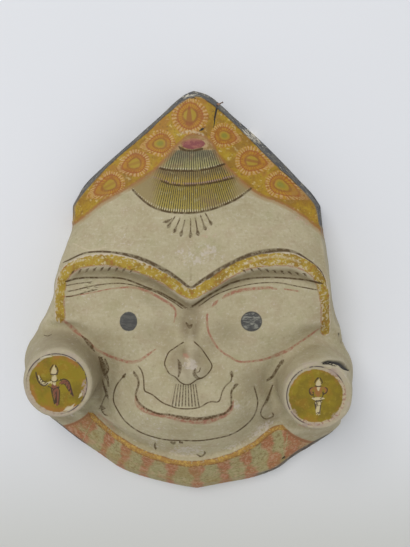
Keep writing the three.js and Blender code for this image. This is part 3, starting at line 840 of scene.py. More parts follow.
disc_chips = strokes_field([
    [[64.5, 410.5, 0.6], [68, 408.6, 2], [72, 407, 1.2], [74, 404, 0.3]],
    [[40, 358.6, 0.3], [46, 356.6, 1], [52, 356.4, 0.3]],
    [[79, 397.4, 0.4], [80.6, 395, 1.3], [82, 392.4, 0.3]],
])
print("dancers drawn")

# %% [markdown]
# Years of handling left soft marks as well: brown dirt, chalk where the paint rubbed through, and
# a pink blush where the red ground shows. The brown dabs also hold painted shade, in the creases
# beside the nose, the knobs and the jaw. Wide soft strokes add painted shade under the brow and
# beside the muzzle, with a faint seam down the forehead and a darker patch on the nose, and the
# walls of the knobs get painted shade as well. Each is a dab with a place, two half widths, a turn
# and a strength, or a wide soft stroke.

# %% Dirt and painted shade, chalk and blush
# Brown dabs: dirt, and painted shade in the creases beside the nose, the knobs and the jaw.
DIRT_AND_SHADE = [
    (190, 322, 15, 28, 0, 1.2), (188, 360, 24, 22, 0, 1.1), (168, 343, 10, 16, 20, 0.5),
    (209, 343, 11, 18, -20, 0.6), (158, 332, 22, 17, 0, 0.3), (224, 332, 24, 19, 0, 0.6),
    (100, 394, 10, 22, 8, 0.4), (275, 390, 13, 26, 12, 0.1),
    (248, 380, 16, 18, 0, 0.4), (240, 412, 14, 10, 0, 0.15), (101, 366, 6, 12, -15, 0.3),
    (192, 132, 20, 6, 0, 0.5), (86, 408, 18, 9, 35, 0.7), (270, 418, 16, 9, -20, 0.8),
    (150, 300, 20, 9, 30, 0.3), (280, 412, 10, 8, 0, 0.5), (72, 262, 10, 14, 0, 0.3),
    (192, 431, 40, 12, 0, 0.1), (318, 250, 12, 20, 0, 0.3), (150, 395, 30, 14, 0, 0.15),
    (62, 416, 26, 8, 22, 0.8), (312, 434, 30, 9, -20, 0.4), (208, 402, 20, 8, 0, 0.2),
]
CHALK = [
    (192, 256, 34, 14, 0, 0.42), (209, 251, 11, 6, -25, 1.0), (198, 262, 8, 5, 0, 0.8),
    (191, 365, 9, 9, 0, 1.0), (187, 451, 24, 7, 0, 0.85), (156, 443, 18, 6, 20, 0.55),
    (262, 429, 19, 7, -38, 0.9), (236, 406, 9, 8, 0, 0.65), (234, 446, 20, 5, -18, 0.6),
    (252, 136, 20, 7, 42, 0.75), (192, 96, 16, 4, 0, 0.6), (120, 240, 40, 12, 0, 0.2),
    (345, 385, 5, 26, 0, 0.5), (86, 300, 10, 16, 0, 0.2), (150, 424, 26, 12, 25, 0.3),
    (72, 414, 9, 4, 20, 0.55), (297, 214, 18, 5, 33, 0.4), (262, 262, 34, 6, 0, 0.5),
    (312, 268, 14, 9, 40, 0.6), (192, 290, 14, 8, 0, 0.4), (84, 256, 16, 5, -15, 0.35),
]
BLUSH = [
    (186, 356, 6, 5, 0, 0.9), (333, 372, 9, 6, 35, 0.9), (312, 425, 22, 5, 0, 0.8),
    (335, 416, 12, 7, -40, 0.7), (84, 388, 5, 15, 8, 0.9), (40, 398, 6, 12, -20, 0.3),
    (294, 412, 6, 12, -35, 0.7), (106, 421, 22, 5, 42, 0.5), (205, 236, 26, 9, 0, 0.3),
    (105, 200, 30, 5, -37, 0.5), (150, 172, 20, 4, -35, 0.5), (120, 190, 14, 4, -37, 0.5),
    (300, 219, 22, 4, 33, 0.5), (150, 357, 10, 5, -20, 0.3),
]
# Wide soft strokes: painted shade under the brow and beside the muzzle, a faint seam down the forehead
# and a darker patch on the nose.
SHADES = [
    [[66, 276, 5], [88, 270, 7], [112, 269, 8], [140, 276, 8], [165, 290, 7], [186, 304, 5]],
    [[196, 303, 5], [215, 289, 7], [240, 276, 8], [264, 271, 8], [292, 272, 7], [316, 281, 5]],
    [[101, 362, 3], [103, 374, 3], [102, 386, 3], [100, 400, 3]],
    [[189.8, 246, 0.5], [189.4, 252, 0.9], [190, 258, 0.5]],
    [[190.4, 268, 0.4], [190, 274, 0.8], [190.6, 280, 0.4]],
    [[184, 350, 2.5], [185, 360, 4], [186, 370, 4], [188, 377, 2.5]],
]


def dabs(table):
    """How strongly the dabs of a table colour each vertex that faces the viewer."""
    amount = np.zeros(len(ACROSS))
    for a, d, wide, tall, tilt, strength in table:
        turn = math.radians(tilt)
        u = ((ACROSS - a) * math.cos(turn) + (DOWN - d) * math.sin(turn)) / wide
        v = ((DOWN - d) * math.cos(turn) - (ACROSS - a) * math.sin(turn)) / tall
        amount = np.maximum(amount, strength * (1 - rise(np.hypot(u, v), 0.2, 1.15)))
    return amount * FACING


# Painted shade on the walls of the knobs, strongest on the sides that face the cheeks and gone at the
# top.
knob_side_shade = np.zeros(len(points))
on_knob = np.zeros(len(points))
for ear in EARS:
    middle_x, middle_y = ear_middle(ear, points[:, 2])
    plan = np.hypot(points[:, 0] - middle_x, points[:, 1] - middle_y)
    near = 1 - rise(np.abs(plan - ear_radius(points[:, 2])), 0.001, 0.006)
    on_knob = np.maximum(on_knob, near * rise(points[:, 2], 0.036, 0.05))
    inner_side = np.abs(middle_x) - np.abs(points[:, 0])
    near = near * (0.45 + 0.55 * rise(inner_side, -0.03, 0.0))
    knob_side_shade = np.maximum(knob_side_shade, near * rise(points[:, 2], 0.02, 0.05))
knob_side_shade *= 1 - rise(points[:, 2], 0.1045, 0.107)
dirt_and_shade = dabs(DIRT_AND_SHADE)
chalk = dabs(CHALK)
blush = dabs(BLUSH)
shade = strokes_field(SHADES, margin=12)
shade[:, 0] = 1 - rise(np.abs(shade[:, 0]), 0.1, 1.25)
print("stained vertices", int((dirt_and_shade > 0.2).sum()), int((chalk > 0.2).sum()))

# %% [markdown]
# The crown band carries seven painted jewels. Each is a drop: its round end faces the crown's
# point and its tip hangs down along the band. Each is noted by the middle of its round end, how
# far off its tip is, half its width and the way it points. Every vertex learns where it lies in
# the nearest.

# %% Jewels on the crown band
JEWELS = [
    # across, down, reach of the tip, half width, degrees its tip turns from across, kind
    (189.9, 115.6, 18.5, 17.6, -90, 0.0),
    (160.8, 143.4, 20.5, 13.2, 170, 1.0),
    (135.6, 163.4, 20, 13.2, 162, 0.4),
    (111.2, 184.4, 27, 12.8, 152, 0.7),
    (223.6, 135.6, 18, 12, 14, 1.0),
    (250.6, 160.8, 23, 14.2, 12, 0.5),
    (279.4, 184.4, 31, 13, 27, 0.9),
]
ROUND_END = 1.04
jewel = np.full((len(points), 3), FAR)
jewel[:, :2] = 0
jewel_kind = np.zeros(len(points))
for a, d, reach, width, tilt, kind in JEWELS:
    turn = math.radians(tilt)
    along = (ACROSS - a) * math.cos(turn) + (DOWN - d) * math.sin(turn)
    u = along / np.where(along > 0, reach, ROUND_END * width)
    v = ((DOWN - d) * math.cos(turn) - (ACROSS - a) * math.sin(turn)) / width
    taper = 0.3 if kind == 0 else 0.62
    v = v / (1 - taper * np.clip(u, 0, 1.2) ** 1.4)
    size = np.hypot(u, v)
    better = FACING & (size < jewel[:, 2])
    jewel[better] = np.column_stack([u, v, size])[better]
    jewel_kind[better] = kind
print("jewels", len(JEWELS))

# %% Distances to the edges of the crown and chin bands
def edge_distance(line):
    """Signed distance to a guide line, less on the side of the crown."""
    path = smooth_path([[p[0], p[1], 1] for p in line], pace=3)
    return beside(path, ACROSS, DOWN)


crown_inner = edge_distance([[66, 228.6, 0]] + GUIDES[1] + [[326, 237, 0]])[0]
crown_edge = edge_distance([[75.3, 214, 0]] + GUIDES[0] + [[317.5, 216, 0]])[0]
chin_ridge, _, chin_share = edge_distance(GUIDES[12][2:-2])
chin_edge = edge_distance(GUIDES[13])[0]
RED_CELLS = [(94, 0), (111, 1), (128, 2), (148, 3), (172, 4), (196, 5), (222, 6), (244, 7),
             (264, 8), (288, 9)]
ridge_path = smooth_path([[p[0], p[1], 1] for p in GUIDES[12][2:-2]], pace=3)
ridge_across = np.interp(chin_share, np.linspace(0, 1, len(ridge_path)), ridge_path[:, 0])
cells = np.array(RED_CELLS, float)
lean = (ACROSS - ridge_across) * 0.35
chin_cell = np.interp(ridge_across + lean, cells[:, 0], cells[:, 1], left=-1, right=10)
print("crown inner", round(float(crown_inner.min()), 1), round(float(crown_inner.max()), 1))

# %% The fan of pleats
def arc_down(arc, across):
    """How far down an arc lies at each across."""
    table = np.array(arc, float)
    return ease(table[:, 0], table[:, 1], np.clip(across, table[0, 0], table[-1, 0]))


top_arc = arc_down([(130, 160)] + FAN_TOP + [(250, 157)], ACROSS)
middle_arc = arc_down([(130, 172)] + FAN_MIDDLE + [(252, 172)], ACROSS)
foot_arc = arc_down(FAN_FOOT, ACROSS)
KNOT_ARC = 150.0
tier = np.select(
    [DOWN < top_arc, DOWN < middle_arc],
    [
        (DOWN - KNOT_ARC) / (top_arc - KNOT_ARC),
        1 + (DOWN - top_arc) / (middle_arc - top_arc),
    ],
    2 + (DOWN - middle_arc) / np.maximum(4, foot_arc - middle_arc),
)
pleat = np.degrees(np.arctan2(ACROSS - 191, DOWN - 75))
in_fan = FACING & (ACROSS > 131) & (ACROSS < 254) & (tier < 3.05) & (DOWN > 138)
in_fan &= crown_inner > -1
knot = np.hypot((ACROSS - 193.3) / 11.8, (DOWN - 144) / 5.6)
print("fan vertices", int((in_fan & (tier < 3)).sum()))

# %% [markdown]
# Raised and sunken detail is small: the lip of the jewels, the steps of the fan, the knot, a
# tear that opened over one knob, and the lumps that dried paper always has. Each vertex moves a
# little along its own normal.

# %% Low relief
def bump_at(value, low, high):
    """A rounded bump that is 1 midway between low and high and 0 at both."""
    t = np.clip((value - low) / (high - low), 0, 1)
    return np.sin(np.pi * t) ** 2


x, y, z = (points * 1000).T
lift = (
    0.22 * np.sin(x / 11 + 1.3 * np.sin(y / 17))
    + 0.20 * np.sin(y / 9 + 1.1 * np.sin(x / 14 + z / 20))
    + 0.12 * np.sin((x + y) / 5.3 + np.sin(z / 6))
    + 0.10 * np.sin((x - 1.7 * y) / 6.1 + 2 * np.sin(x / 23))
)
on_disc = np.zeros(len(points), bool)
for centre in (LEFT_EAR, RIGHT_EAR):
    plan = np.hypot(points[:, 0] - centre[0], points[:, 1] - centre[1])
    on_disc |= (plan < 0.031) & (points[:, 2] > 0.1)
lift = np.where(on_disc, 0.4 * lift, lift)
size = jewel[:, 2]
lift += 0.55 * bump_at(size, 0.74, 1.06) + 0.5 * (1 - rise(size, 0.25, 0.5))
lift += np.where(FACING, 0.6 * bump_at(crown_inner, -4.5, 0.5) * (DOWN < 240), 0)
lift += np.where(in_fan & (tier < 3), 0.7 * np.clip(tier % 1, 0, 1) ** 1.5, 0)
lift += 1.8 * np.sqrt(np.clip(1 - knot ** 2, 0, 1)) * FACING
lift -= 2.6 * (1 - rise(shaded_holes[:, 1], -0.9, 0.7)) * (DOWN > 340)
lift -= 0.9 * (1 - rise(shaded_holes[:, 1], -0.6, 0.6)) * (DOWN < 340)
lift = np.where(points[:, 2] < 0.003, 0, lift)
points = points + normals * (lift / 1000)[:, None]
write_points(skin, points)
deep = relax(points, pairs, 0.5 * np.ones(len(points)), 40)
hollow = ((deep - points) * normals).sum(axis=1) * 1000
print("hollow from", round(float(hollow.min()), 2), "to", round(float(hollow.max()), 2), "mm")

# %% [markdown]
# The inside of a moulded shell repeats the outside, one wall thickness in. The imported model
# already holds it, so its inner skin is copied, softened, and joined to the outer skin by the
# flat edge that the mask lies on.

# %% The inside and the back edge
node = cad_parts["mask_shell"]
inner = bmesh.new()
inner.from_mesh(node.data)
bmesh.ops.transform(inner, matrix=node.matrix_world, verts=inner.verts)
bmesh.ops.remove_doubles(inner, verts=inner.verts, dist=1e-5)
flat = [face for face in inner.faces if all(v.co.z < 1e-5 for v in face.verts)]
bmesh.ops.delete(inner, geom=flat, context="FACES")
spread = [max(inner.verts, key=lambda v: v.co.z)]
outside = set(spread)
while spread:
    spread = [
        edge.other_vert(vertex)
        for vertex in spread for edge in vertex.link_edges
        if edge.other_vert(vertex) not in outside and not outside.add(edge.other_vert(vertex))
    ]
bmesh.ops.delete(inner, geom=list(outside), context="VERTS")
loose = [vertex for vertex in inner.verts if not vertex.link_faces]
bmesh.ops.delete(inner, geom=loose, context="VERTS")
bmesh.ops.subdivide_edges(
    inner, edges=[e for e in inner.edges if not e.is_boundary], cuts=1, use_grid_fill=True
)
raised = [vertex for vertex in inner.verts if not vertex.is_boundary]
for _ in range(6):
    bmesh.ops.smooth_vert(
        inner, verts=raised, factor=0.5, use_axis_x=True, use_axis_y=True, use_axis_z=True
    )
print("inside", len(inner.faces), "faces")

OUTER_COUNT = len(skin.verts)
whole = joined([skin, inner])
edges = [edge for edge in whole.edges if edge.is_boundary]
bmesh.ops.triangle_fill(
    whole, edges=edges, use_beauty=True, use_dissolve=False, normal=(0, 0, -1)
)
bmesh.ops.recalc_face_normals(whole, faces=whole.faces)
for face in whole.faces:
    face.smooth = any(v.co.z > 1e-5 for v in face.verts)
open_edges = sum(not edge.is_manifold for edge in whole.edges)
print("closed shell: open edges", open_edges, "volume", round(whole.calc_volume() * 1000, 3), "l")
whole.to_mesh(mask.data)
whole.free()
mask.data.calc_loop_triangles()
print("triangles", len(mask.data.loop_triangles))

# %% [markdown]
# The shader can't see Python's arrays. So each result is stored on the mesh as an attribute of
# three numbers a vertex, and the inside gets values that no paint layer answers to.

# %% What each vertex remembers for the paint
extra = len(mask.data.vertices) - OUTER_COUNT


def remember(name, columns, inside=0.0):
    """Stores up to three numbers a vertex on the mask, with another value on its inside."""
    columns = np.atleast_2d(np.array(columns, float))
    values = np.full((len(mask.data.vertices), 3), float(inside))
    for k, column in enumerate(columns):
        values[:OUTER_COUNT, k] = column
    layer = mask.data.attributes.new(name, "FLOAT_VECTOR", "POINT")
    layer.data.foreach_set("vector", values.astype(np.float32).ravel())


remember("ink_a", ink_a.T, FAR)
remember("ink_b", ink_b.T, FAR)
remember("ink_red", ink_red.T, FAR)
remember("shaded_holes", shaded_holes.T, FAR)
remember("brow_gold", gold.T, FAR)
remember("figure_line", figure_line.T, FAR)
remember("figure_red", figure_red.T, FAR)
remember("figure_pale", figure_pale.T, FAR)
remember("rub_marks", rub_marks.T, FAR)
remember("disc_chips", disc_chips.T, FAR)
remember("stains_and_shade", [dirt_and_shade, chalk, blush], 0)
remember("shades", [shade[:, 0], knob_side_shade, on_knob], 0)
remember("jewel", jewel.T, FAR)
remember("view", [ACROSS, DOWN, FACING], 0)
remember("bands", [crown_inner, crown_edge, chin_ridge], FAR)
remember("chin", [chin_cell, chin_edge, jewel_kind], FAR)
remember("fan", [tier, pleat, in_fan], 0)
remember("form", [hollow, knot, np.zeros(OUTER_COUNT)], 1)
print("attributes", [layer.name for layer in mask.data.attributes][:20])

# %% [markdown]
# Paint on the shader side is a stack of layers, from the chalky ground up. A small class lets
# the sums be written as ordinary Python, and one method adds any other node.

# %% Shader helpers
class Wire:
    """A socket that can be used in ordinary arithmetic."""

    def __init__(self, finish, socket):
        self.finish = finish
        self.socket = socket

    def sum_node(self, operation, first, second):
        return self.finish.node("ShaderNodeMath", {"operation": operation}, {0: first, 1: second})

    def __add__(self, other):
        return self.sum_node("ADD", self, other)

    def __radd__(self, other):
        return self.sum_node("ADD", other, self)

    def __sub__(self, other):
        return self.sum_node("SUBTRACT", self, other)

    def __rsub__(self, other):
        return self.sum_node("SUBTRACT", other, self)

    def __mul__(self, other):
        return self.sum_node("MULTIPLY", self, other)

    def __rmul__(self, other):
        return self.sum_node("MULTIPLY", other, self)

    def __truediv__(self, other):
        return self.sum_node("DIVIDE", self, other)

    def __abs__(self):
        return self.sum_node("ABSOLUTE", self, 0)

    def sine(self):
        return self.sum_node("SINE", self, 0)

    def most(self, other):
        return self.sum_node("MAXIMUM", self, other)


class Finish:
    """A material and the nodes in it."""

    def __init__(self, name):
        self.material = bpy.data.materials.new(name)
        self.material.use_nodes = True
        self.tree = self.material.node_tree
        self.tree.nodes.clear()
        self.place = self.node("ShaderNodeTexCoord", {}, {}, out="Object")

    def node(self, kind, settings, values, out=0):
        """Adds a node: its settings first, then the values or links of its sockets."""
        node = self.tree.nodes.new(kind)
        for name, value in settings.items():
            setattr(node, name, value)
        for name, value in values.items():
            if isinstance(value, Wire):
                self.tree.links.new(value.socket, node.inputs[name])
            else:
                node.inputs[name].default_value = value
        return None if out is None else Wire(self, node.outputs[out])

    def step(self, value, low, high):
        """Smooth step: 0 at low, 1 at high."""
        return self.node(
            "ShaderNodeMapRange", {"interpolation_type": "SMOOTHSTEP"},
            {0: value, 1: low, 2: high},
        )

    def reach(self, run, rise_by):
        """Length of a step of so much across and so much up."""
        return self.node(
            "ShaderNodeMath", {"operation": "POWER"}, {0: run * run + rise_by * rise_by, 1: 0.5}
        )

    def over(self, under, top, amount):
        """One colour laid over another by an amount from 0 to 1."""
        return self.node(
            "ShaderNodeMix", {"data_type": "RGBA"}, {0: amount, 6: under, 7: top}, out=2
        )

    def noise(self, scale, detail=3.0, rough=0.55, stretch=None):
        """Noise from 0 to 1 over the object, in features a metre."""
        place = self.place
        if stretch:
            place = self.node("ShaderNodeMapping", {}, {"Vector": place, "Scale": stretch})
        return self.node(
            "ShaderNodeTexNoise", {},
            {"Vector": place, "Scale": scale, "Detail": detail, "Roughness": rough},
        )

    def remembered(self, name):
        """The three numbers that the mask holds under a name."""
        held = self.node(
            "ShaderNodeAttribute", {"attribute_type": "GEOMETRY", "attribute_name": name}, {},
            out="Vector",
        )
        return [self.node("ShaderNodeSeparateXYZ", {}, {0: held}, out=k) for k in range(3)]

    def brush(self, name, soft=0.25, wide=1.0):
        """Mask of the brush strokes under a name."""
        offset, beyond, _ = self.remembered(name)
        line = 1 - self.step(abs(offset), wide - soft, wide + soft)
        return line * (1 - self.step(beyond, 0.6, 1.1))

    def dress(self, piece, values):
        """Closes the material with one shader and gives it to a piece."""
        shader = self.node("ShaderNodeBsdfPrincipled", {}, values)
        self.node("ShaderNodeOutputMaterial", {}, {"Surface": shader}, out=None)
        piece.data.materials.clear()
        piece.data.materials.append(self.material)


def paint(red, green, blue):
    """Pigment for a colour as it shows in even light, from 0-255 screen values."""
    def linear(value):
        value = value / 255
        return value / 12.92 if value < 0.04045 else ((value + 0.055) / 1.055) ** 2.4
    return (*(min(0.95, linear(v) / 0.885) for v in (red, green, blue)), 1)


print("shader helpers ready")

# %% [markdown]
# The ground under the paint is chalk and glue over paper. Handling has yellowed it. The hollows
# are painted darker, as painted shade and dirt, and the raised parts paler, as a painted highlight
# and rubbing.

# %% The painted paper: ground
CREAM = paint(164, 154, 124)
finish = Finish("painted_mask_finish")
object_x, object_y, object_z = [
    finish.node("ShaderNodeSeparateXYZ", {}, {0: finish.place}, out=k) for k in range(3)
]
across, down, facing = finish.remembered("view")
crown_in, crown_out, chin_down = finish.remembered("bands")
hollow, knot_size, inside = finish.remembered("form")
dirt_and_shade, chalk, blush = finish.remembered("stains_and_shade")
shaded, knob_side_shade, on_knob = finish.remembered("shades")
blotch = finish.noise(22, 3, 0.6)
patch = finish.noise(70, 3, 0.6)
cloud = finish.noise(38, 4, 0.65)
grit = finish.noise(420, 2, 0.6)
fleck = finish.noise(210, 3, 0.65)
stroke_marks = finish.noise(160, 3, 0.6, stretch=(0.35, 1.6, 1))

colour = finish.over(CREAM, paint(174, 164, 134), 0.7 * finish.step(cloud, 0.46, 0.7))
colour = finish.over(colour, paint(152, 139, 106), 0.6 * finish.step(cloud, 0.5, 0.32))
colour = finish.over(colour, paint(158, 140, 114), 0.4 * finish.step(patch, 0.5, 0.7))
colour = finish.over(colour, paint(154, 148, 112), 0.45 * finish.step(patch, 0.46, 0.3))
colour = finish.over(colour, paint(180, 172, 146), 0.4 * finish.step(stroke_marks, 0.54, 0.7))
colour = finish.over(colour, paint(136, 122, 94), 0.3 * finish.step(fleck, 0.42, 0.28))
colour = finish.over(colour, paint(190, 182, 160), 0.2 * finish.step(grit, 0.52, 0.7))
colour = finish.over(colour, paint(136, 122, 94), 0.2 * finish.step(grit, 0.46, 0.3))
# Painted shade on the walls of the knobs, weaker on the right knob.
left_knob = 1 - 0.7 * finish.step(across, 200, 300)
colour = finish.over(colour, paint(124, 112, 88), 0.62 * knob_side_shade * left_knob * (0.5 + patch))
colour = finish.over(colour, paint(104, 86, 50), 0.5 * shaded * (0.45 + patch))
# Brown dabs of dirt and painted shade, broken up by noise.
colour = finish.over(colour, paint(96, 78, 50), 0.62 * dirt_and_shade * finish.step(cloud, 0.2, 0.62))
# Painted shade with dirt in the hollows, then a painted highlight with rubbing on the raised parts.
colour = finish.over(colour, paint(108, 90, 58), 0.3 * finish.step(hollow, 0.3, 1.8))
colour = finish.over(colour, paint(194, 184, 160), 0.3 * finish.step(hollow, -0.2, -1.2))
rubbed_red = finish.step(fleck + 0.5 * blush, 0.66, 0.94)
rubbed_white = finish.step(fleck + 0.6 * (grit - 0.5) + 0.42 * chalk, 0.64, 0.94)
colour = finish.over(colour, paint(162, 106, 88), 0.55 * rubbed_red * finish.step(blush, 0, 0.2))
colour = finish.over(colour, paint(188, 178, 170), 0.5 * rubbed_white)
print("ground laid")

# %% [markdown]
# The crown band is mustard, thick and shiny where it has lasted. Its jewels were drawn with a
# ring of orange, a fringe of short pale strokes and a bright core.

# %% Crown band and jewels
in_band = finish.step(crown_in + 1.2 * (patch - 0.5), 0.7, -0.7) * finish.step(down, 246, 238)
mustard = finish.over(paint(156, 124, 12), paint(134, 97, 10), finish.step(cloud, 0.42, 0.6))
mustard = finish.over(mustard, paint(166, 140, 28), 0.6 * finish.step(patch, 0.52, 0.68))
mustard = finish.over(mustard, paint(140, 84, 32), 0.55 * finish.step(cloud, 0.48, 0.36))
mustard = finish.over(mustard, paint(96, 72, 26), 0.6 * finish.step(grit, 0.42, 0.3))
mustard = finish.over(mustard, paint(200, 180, 130), 0.55 * finish.step(fleck, 0.58, 0.68))
colour = finish.over(colour, mustard, in_band)
tip, side, reach = finish.remembered("jewel")
_, chin_out, kind = finish.remembered("chin")
turn = finish.node("ShaderNodeMath", {"operation": "ARCTAN2"}, {0: side, 1: tip})
size = finish.reach(tip, side)
jewelled = in_band * finish.step(reach, 1.1, 1.03)
wobble = size + 0.14 * (patch - 0.5) + 0.1 * (fleck - 0.5)
spokes = (turn * 31 + 4 * fleck).sine()
in_ring = finish.step(wobble, 0.8, 0.7)
gem = finish.over(paint(160, 118, 16), paint(140, 90, 14), finish.step(fleck, 0.52, 0.36))
gem = finish.over(gem, paint(134, 76, 28), 0.5 * finish.step(patch, 0.5, 0.34))
strokes_out = finish.step(spokes, -0.1, 0.7) * in_ring * finish.step(grit, 0.3, 0.5)
gem = finish.over(gem, paint(146, 68, 14), 0.7 * strokes_out)
outline = finish.step(abs(wobble - 0.72), 0.09, 0.01) * finish.step(fleck, 0.34, 0.5)
gem = finish.over(gem, paint(132, 58, 22), 0.7 * outline)
core = finish.step(wobble, 0.44, 0.3)
gem = finish.over(gem, paint(152, 124, 26), core)
core_line = finish.step(abs(wobble - 0.4), 0.1, 0.02) * finish.step(fleck, 0.36, 0.52)
gem = finish.over(gem, paint(116, 62, 22), 0.6 * core_line)
green = finish.step(kind, 0.8, 0.88) * finish.step(wobble, 0.3, 0.1)
gem = finish.over(gem, paint(122, 116, 32), green)
flame_width = 0.15 - 0.16 * tip
flame = finish.step(kind, 0.1, 0.02) * finish.step(abs(side + 0.04) / flame_width, 1.2, 0.6)
gem = finish.over(gem, paint(128, 62, 22), 0.7 * flame * finish.step(wobble, 0.6, 0.46))
almond = finish.step(abs(kind - 0.55), 0.2, 0.1) * finish.step(abs(side), 0.16, 0.04)
gem = finish.over(gem, paint(124, 66, 22), 0.7 * almond * finish.step(abs(tip), 0.5, 0.34))
dashes = finish.step(spokes, 0.5, -0.3)
fringe = finish.step(wobble, 0.7, 0.8) * finish.step(wobble, 1.1, 1.0) * dashes
gem = finish.over(gem, paint(186, 152, 108), 0.75 * fringe * finish.step(grit, 0.32, 0.54))
colour = finish.over(colour, gem, jewelled * 0.92)
dull = finish.step(cloud + 0.4 * (fleck - 0.5), 0.56, 0.7)
colour = finish.over(colour, paint(136, 104, 48), 0.45 * in_band * dull)
print("jewels painted")

# %% [markdown]
# The hair below the crown is a fan of fine pleats in three tiers. Each pleat follows its angle
# round a point above the crown, so a sine of that angle draws them all. Noise keeps them from
# looking ruled.

# %% The fan, the knot and the edge of the band
PLEAT_DEGREES = 1.42
fan_tier, pleats, fanned = finish.remembered("fan")
in_fan_area = fanned * finish.step(fan_tier, 3.04, 2.96) * finish.step(crown_in, -0.8, 0.4)
finer = 0.2 * finish.step(fan_tier, 0.99, 1.01) + 0.25 * finish.step(fan_tier, 1.99, 2.01)
pleat_turn = pleats * (math.tau / PLEAT_DEGREES) * (1 + finer)
rib = (pleat_turn + 1.6 * (patch - 0.5) + 1.2 * (cloud - 0.5)).sine()
tone = finish.node("ShaderNodeMath", {"operation": "FRACT"}, {0: fan_tier})
lit = finish.step(tone + 0.5 * (patch - 0.5), 0.2, 0.9)
top_tier = finish.step(fan_tier, 1.01, 0.99)
foot_tier = finish.step(fan_tier, 1.99, 2.01)
fan_paint = finish.over(paint(118, 100, 56), paint(152, 128, 50), lit)
top_paint = finish.over(paint(108, 102, 76), paint(144, 136, 86), lit)
foot_paint = finish.over(paint(136, 118, 46), paint(150, 134, 62), lit)
fan_paint = finish.over(fan_paint, top_paint, top_tier)
fan_paint = finish.over(fan_paint, foot_paint, foot_tier)
fan_paint = finish.over(fan_paint, paint(170, 160, 118), 0.4 * finish.step(fleck, 0.52, 0.68))
lilac = finish.step(abs(fan_tier - 1.88), 0.1, 0.03)
fan_paint = finish.over(fan_paint, paint(146, 116, 110), 0.75 * lilac * finish.step(fleck, 0.38, 0.5))
off_middle = abs(across - 195 + 9 * (cloud - 0.5)) + 8 * top_tier
aside = finish.step(off_middle, 32, 46)
fan_paint = finish.over(fan_paint, paint(134, 118, 84), 0.85 * aside)
pleat_line = finish.step(rib, 0.0, 0.9) * (1 - aside)
pleat_ink = pleat_line * (0.6 + 0.4 * finish.step(fleck, 0.36, 0.5))
fan_paint = finish.over(fan_paint, paint(40, 36, 24), pleat_ink)
scallop = finish.step(tone, 0.84, 0.92) * top_tier.most(foot_tier) * finish.step(rib, 0.3, -0.5)
fan_paint = finish.over(fan_paint, paint(190, 180, 154), 0.7 * scallop * finish.step(grit, 0.34, 0.5))
fan_paint = finish.over(fan_paint, paint(112, 90, 66), 0.5 * finish.step(cloud, 0.5, 0.34))
colour = finish.over(colour, fan_paint, in_fan_area * finish.step(down, 148, 151))
round_knot = facing * finish.step(knot_size, 2.4, 1.9) * finish.step(down, 151, 149)
crusty = finish.over(paint(132, 104, 56), paint(166, 140, 104), finish.step(fleck, 0.42, 0.6))
colour = finish.over(colour, crusty, round_knot * finish.step(crown_in, -1, 0))
in_knot = facing * finish.step(knot_size + 0.25 * (fleck - 0.5), 1.04, 0.94)
knot_paint = finish.over(paint(122, 66, 66), paint(146, 92, 80), finish.step(fleck, 0.44, 0.62))
# The top of the knot is painted lighter: a painted highlight on the dome.
knot_paint = finish.over(knot_paint, paint(166, 122, 88), 0.6 * finish.step(down, 143, 139))
colour = finish.over(colour, knot_paint, in_knot)
edge_line = finish.step(abs(crown_in + 0.5 + 1.5 * (fleck - 0.5)), 2.0, 0.6)
edge_line = edge_line * finish.step(down, 246, 238) * finish.step(grit, 0.3, 0.5)
colour = finish.over(colour, paint(138, 90, 46), 0.75 * edge_line)
soft_edge = finish.step(abs(crown_in - 1.6), 2.6, 0.4) * finish.step(down, 246, 238)
colour = finish.over(colour, paint(142, 108, 62), 0.55 * soft_edge * finish.step(cloud, 0.3, 0.55))
print("fan painted")

# %% [markdown]
# Brow, lids, nose and mouth are single strokes of a loaded brush, black over the ground, with
# rust red beside some of them. Rubbing has broken them here and there.

# %% Lines of the face
worn = 0.5 + 0.42 * finish.step(grit + 0.6 * (fleck - 0.5), 0.34, 0.6)
rubbed = 0.5 + 0.45 * finish.step(fleck + 0.3 * (patch - 0.5), 0.36, 0.56)
faded = 0.35 + 0.55 * finish.step(fleck + 0.8 * (grit - 0.5), 0.36, 0.64)
gold_off, gold_clear, _ = finish.remembered("brow_gold")
gold_edge = abs(gold_off) + 0.9 * (fleck - 0.5) + 0.4 * (patch - 0.5)
upper_side = finish.step(gold_off * (across - 191) / abs(across - 191), 0.1, 0.8)
bare_more = 0.12 * upper_side + 0.05 * finish.step(across, 215, 290) - 0.03
on_brow = finish.step(gold_edge, 1.14, 0.94) * finish.step(gold_clear, 1.8, 0.8)
brow_border = finish.step(abs(abs(gold_off) - 1.12), 0.3, 0.08) * finish.step(gold_clear, 2.4, 1.4)
border_paint = finish.over(paint(190, 174, 156), paint(142, 92, 62), finish.step(gold_off, -0.2, 0.2))
colour = finish.over(colour, border_paint, 0.7 * brow_border * finish.step(grit, 0.36, 0.54))
brow_paint = finish.over(paint(154, 128, 40), paint(134, 106, 30), finish.step(patch, 0.44, 0.6))
brow_paint = finish.over(brow_paint, paint(172, 152, 66), 0.5 * finish.step(fleck, 0.5, 0.62))
brow_paint = finish.over(brow_paint, paint(142, 84, 40), 0.6 * finish.step(fleck, 0.42, 0.32))
bare_patch = finish.step(fleck + 0.8 * (grit - 0.5) + bare_more, 0.54, 0.74)
brow_paint = finish.over(brow_paint, paint(180, 166, 138), 0.75 * bare_patch)
colour = finish.over(colour, brow_paint, on_brow)
colour = finish.over(colour, paint(138, 68, 46), finish.brush("ink_red", 0.6, 1.2) * 0.8 * faded)
colour = finish.over(colour, paint(68, 48, 12), finish.brush("ink_a", 0.6, 1.25) * rubbed)
colour = finish.over(colour, paint(70, 50, 14), finish.brush("ink_b", 0.6, 1.2) * worn)
colour = finish.over(colour, paint(184, 170, 144), finish.brush("rub_marks", 0.7) * 0.7 * faded)

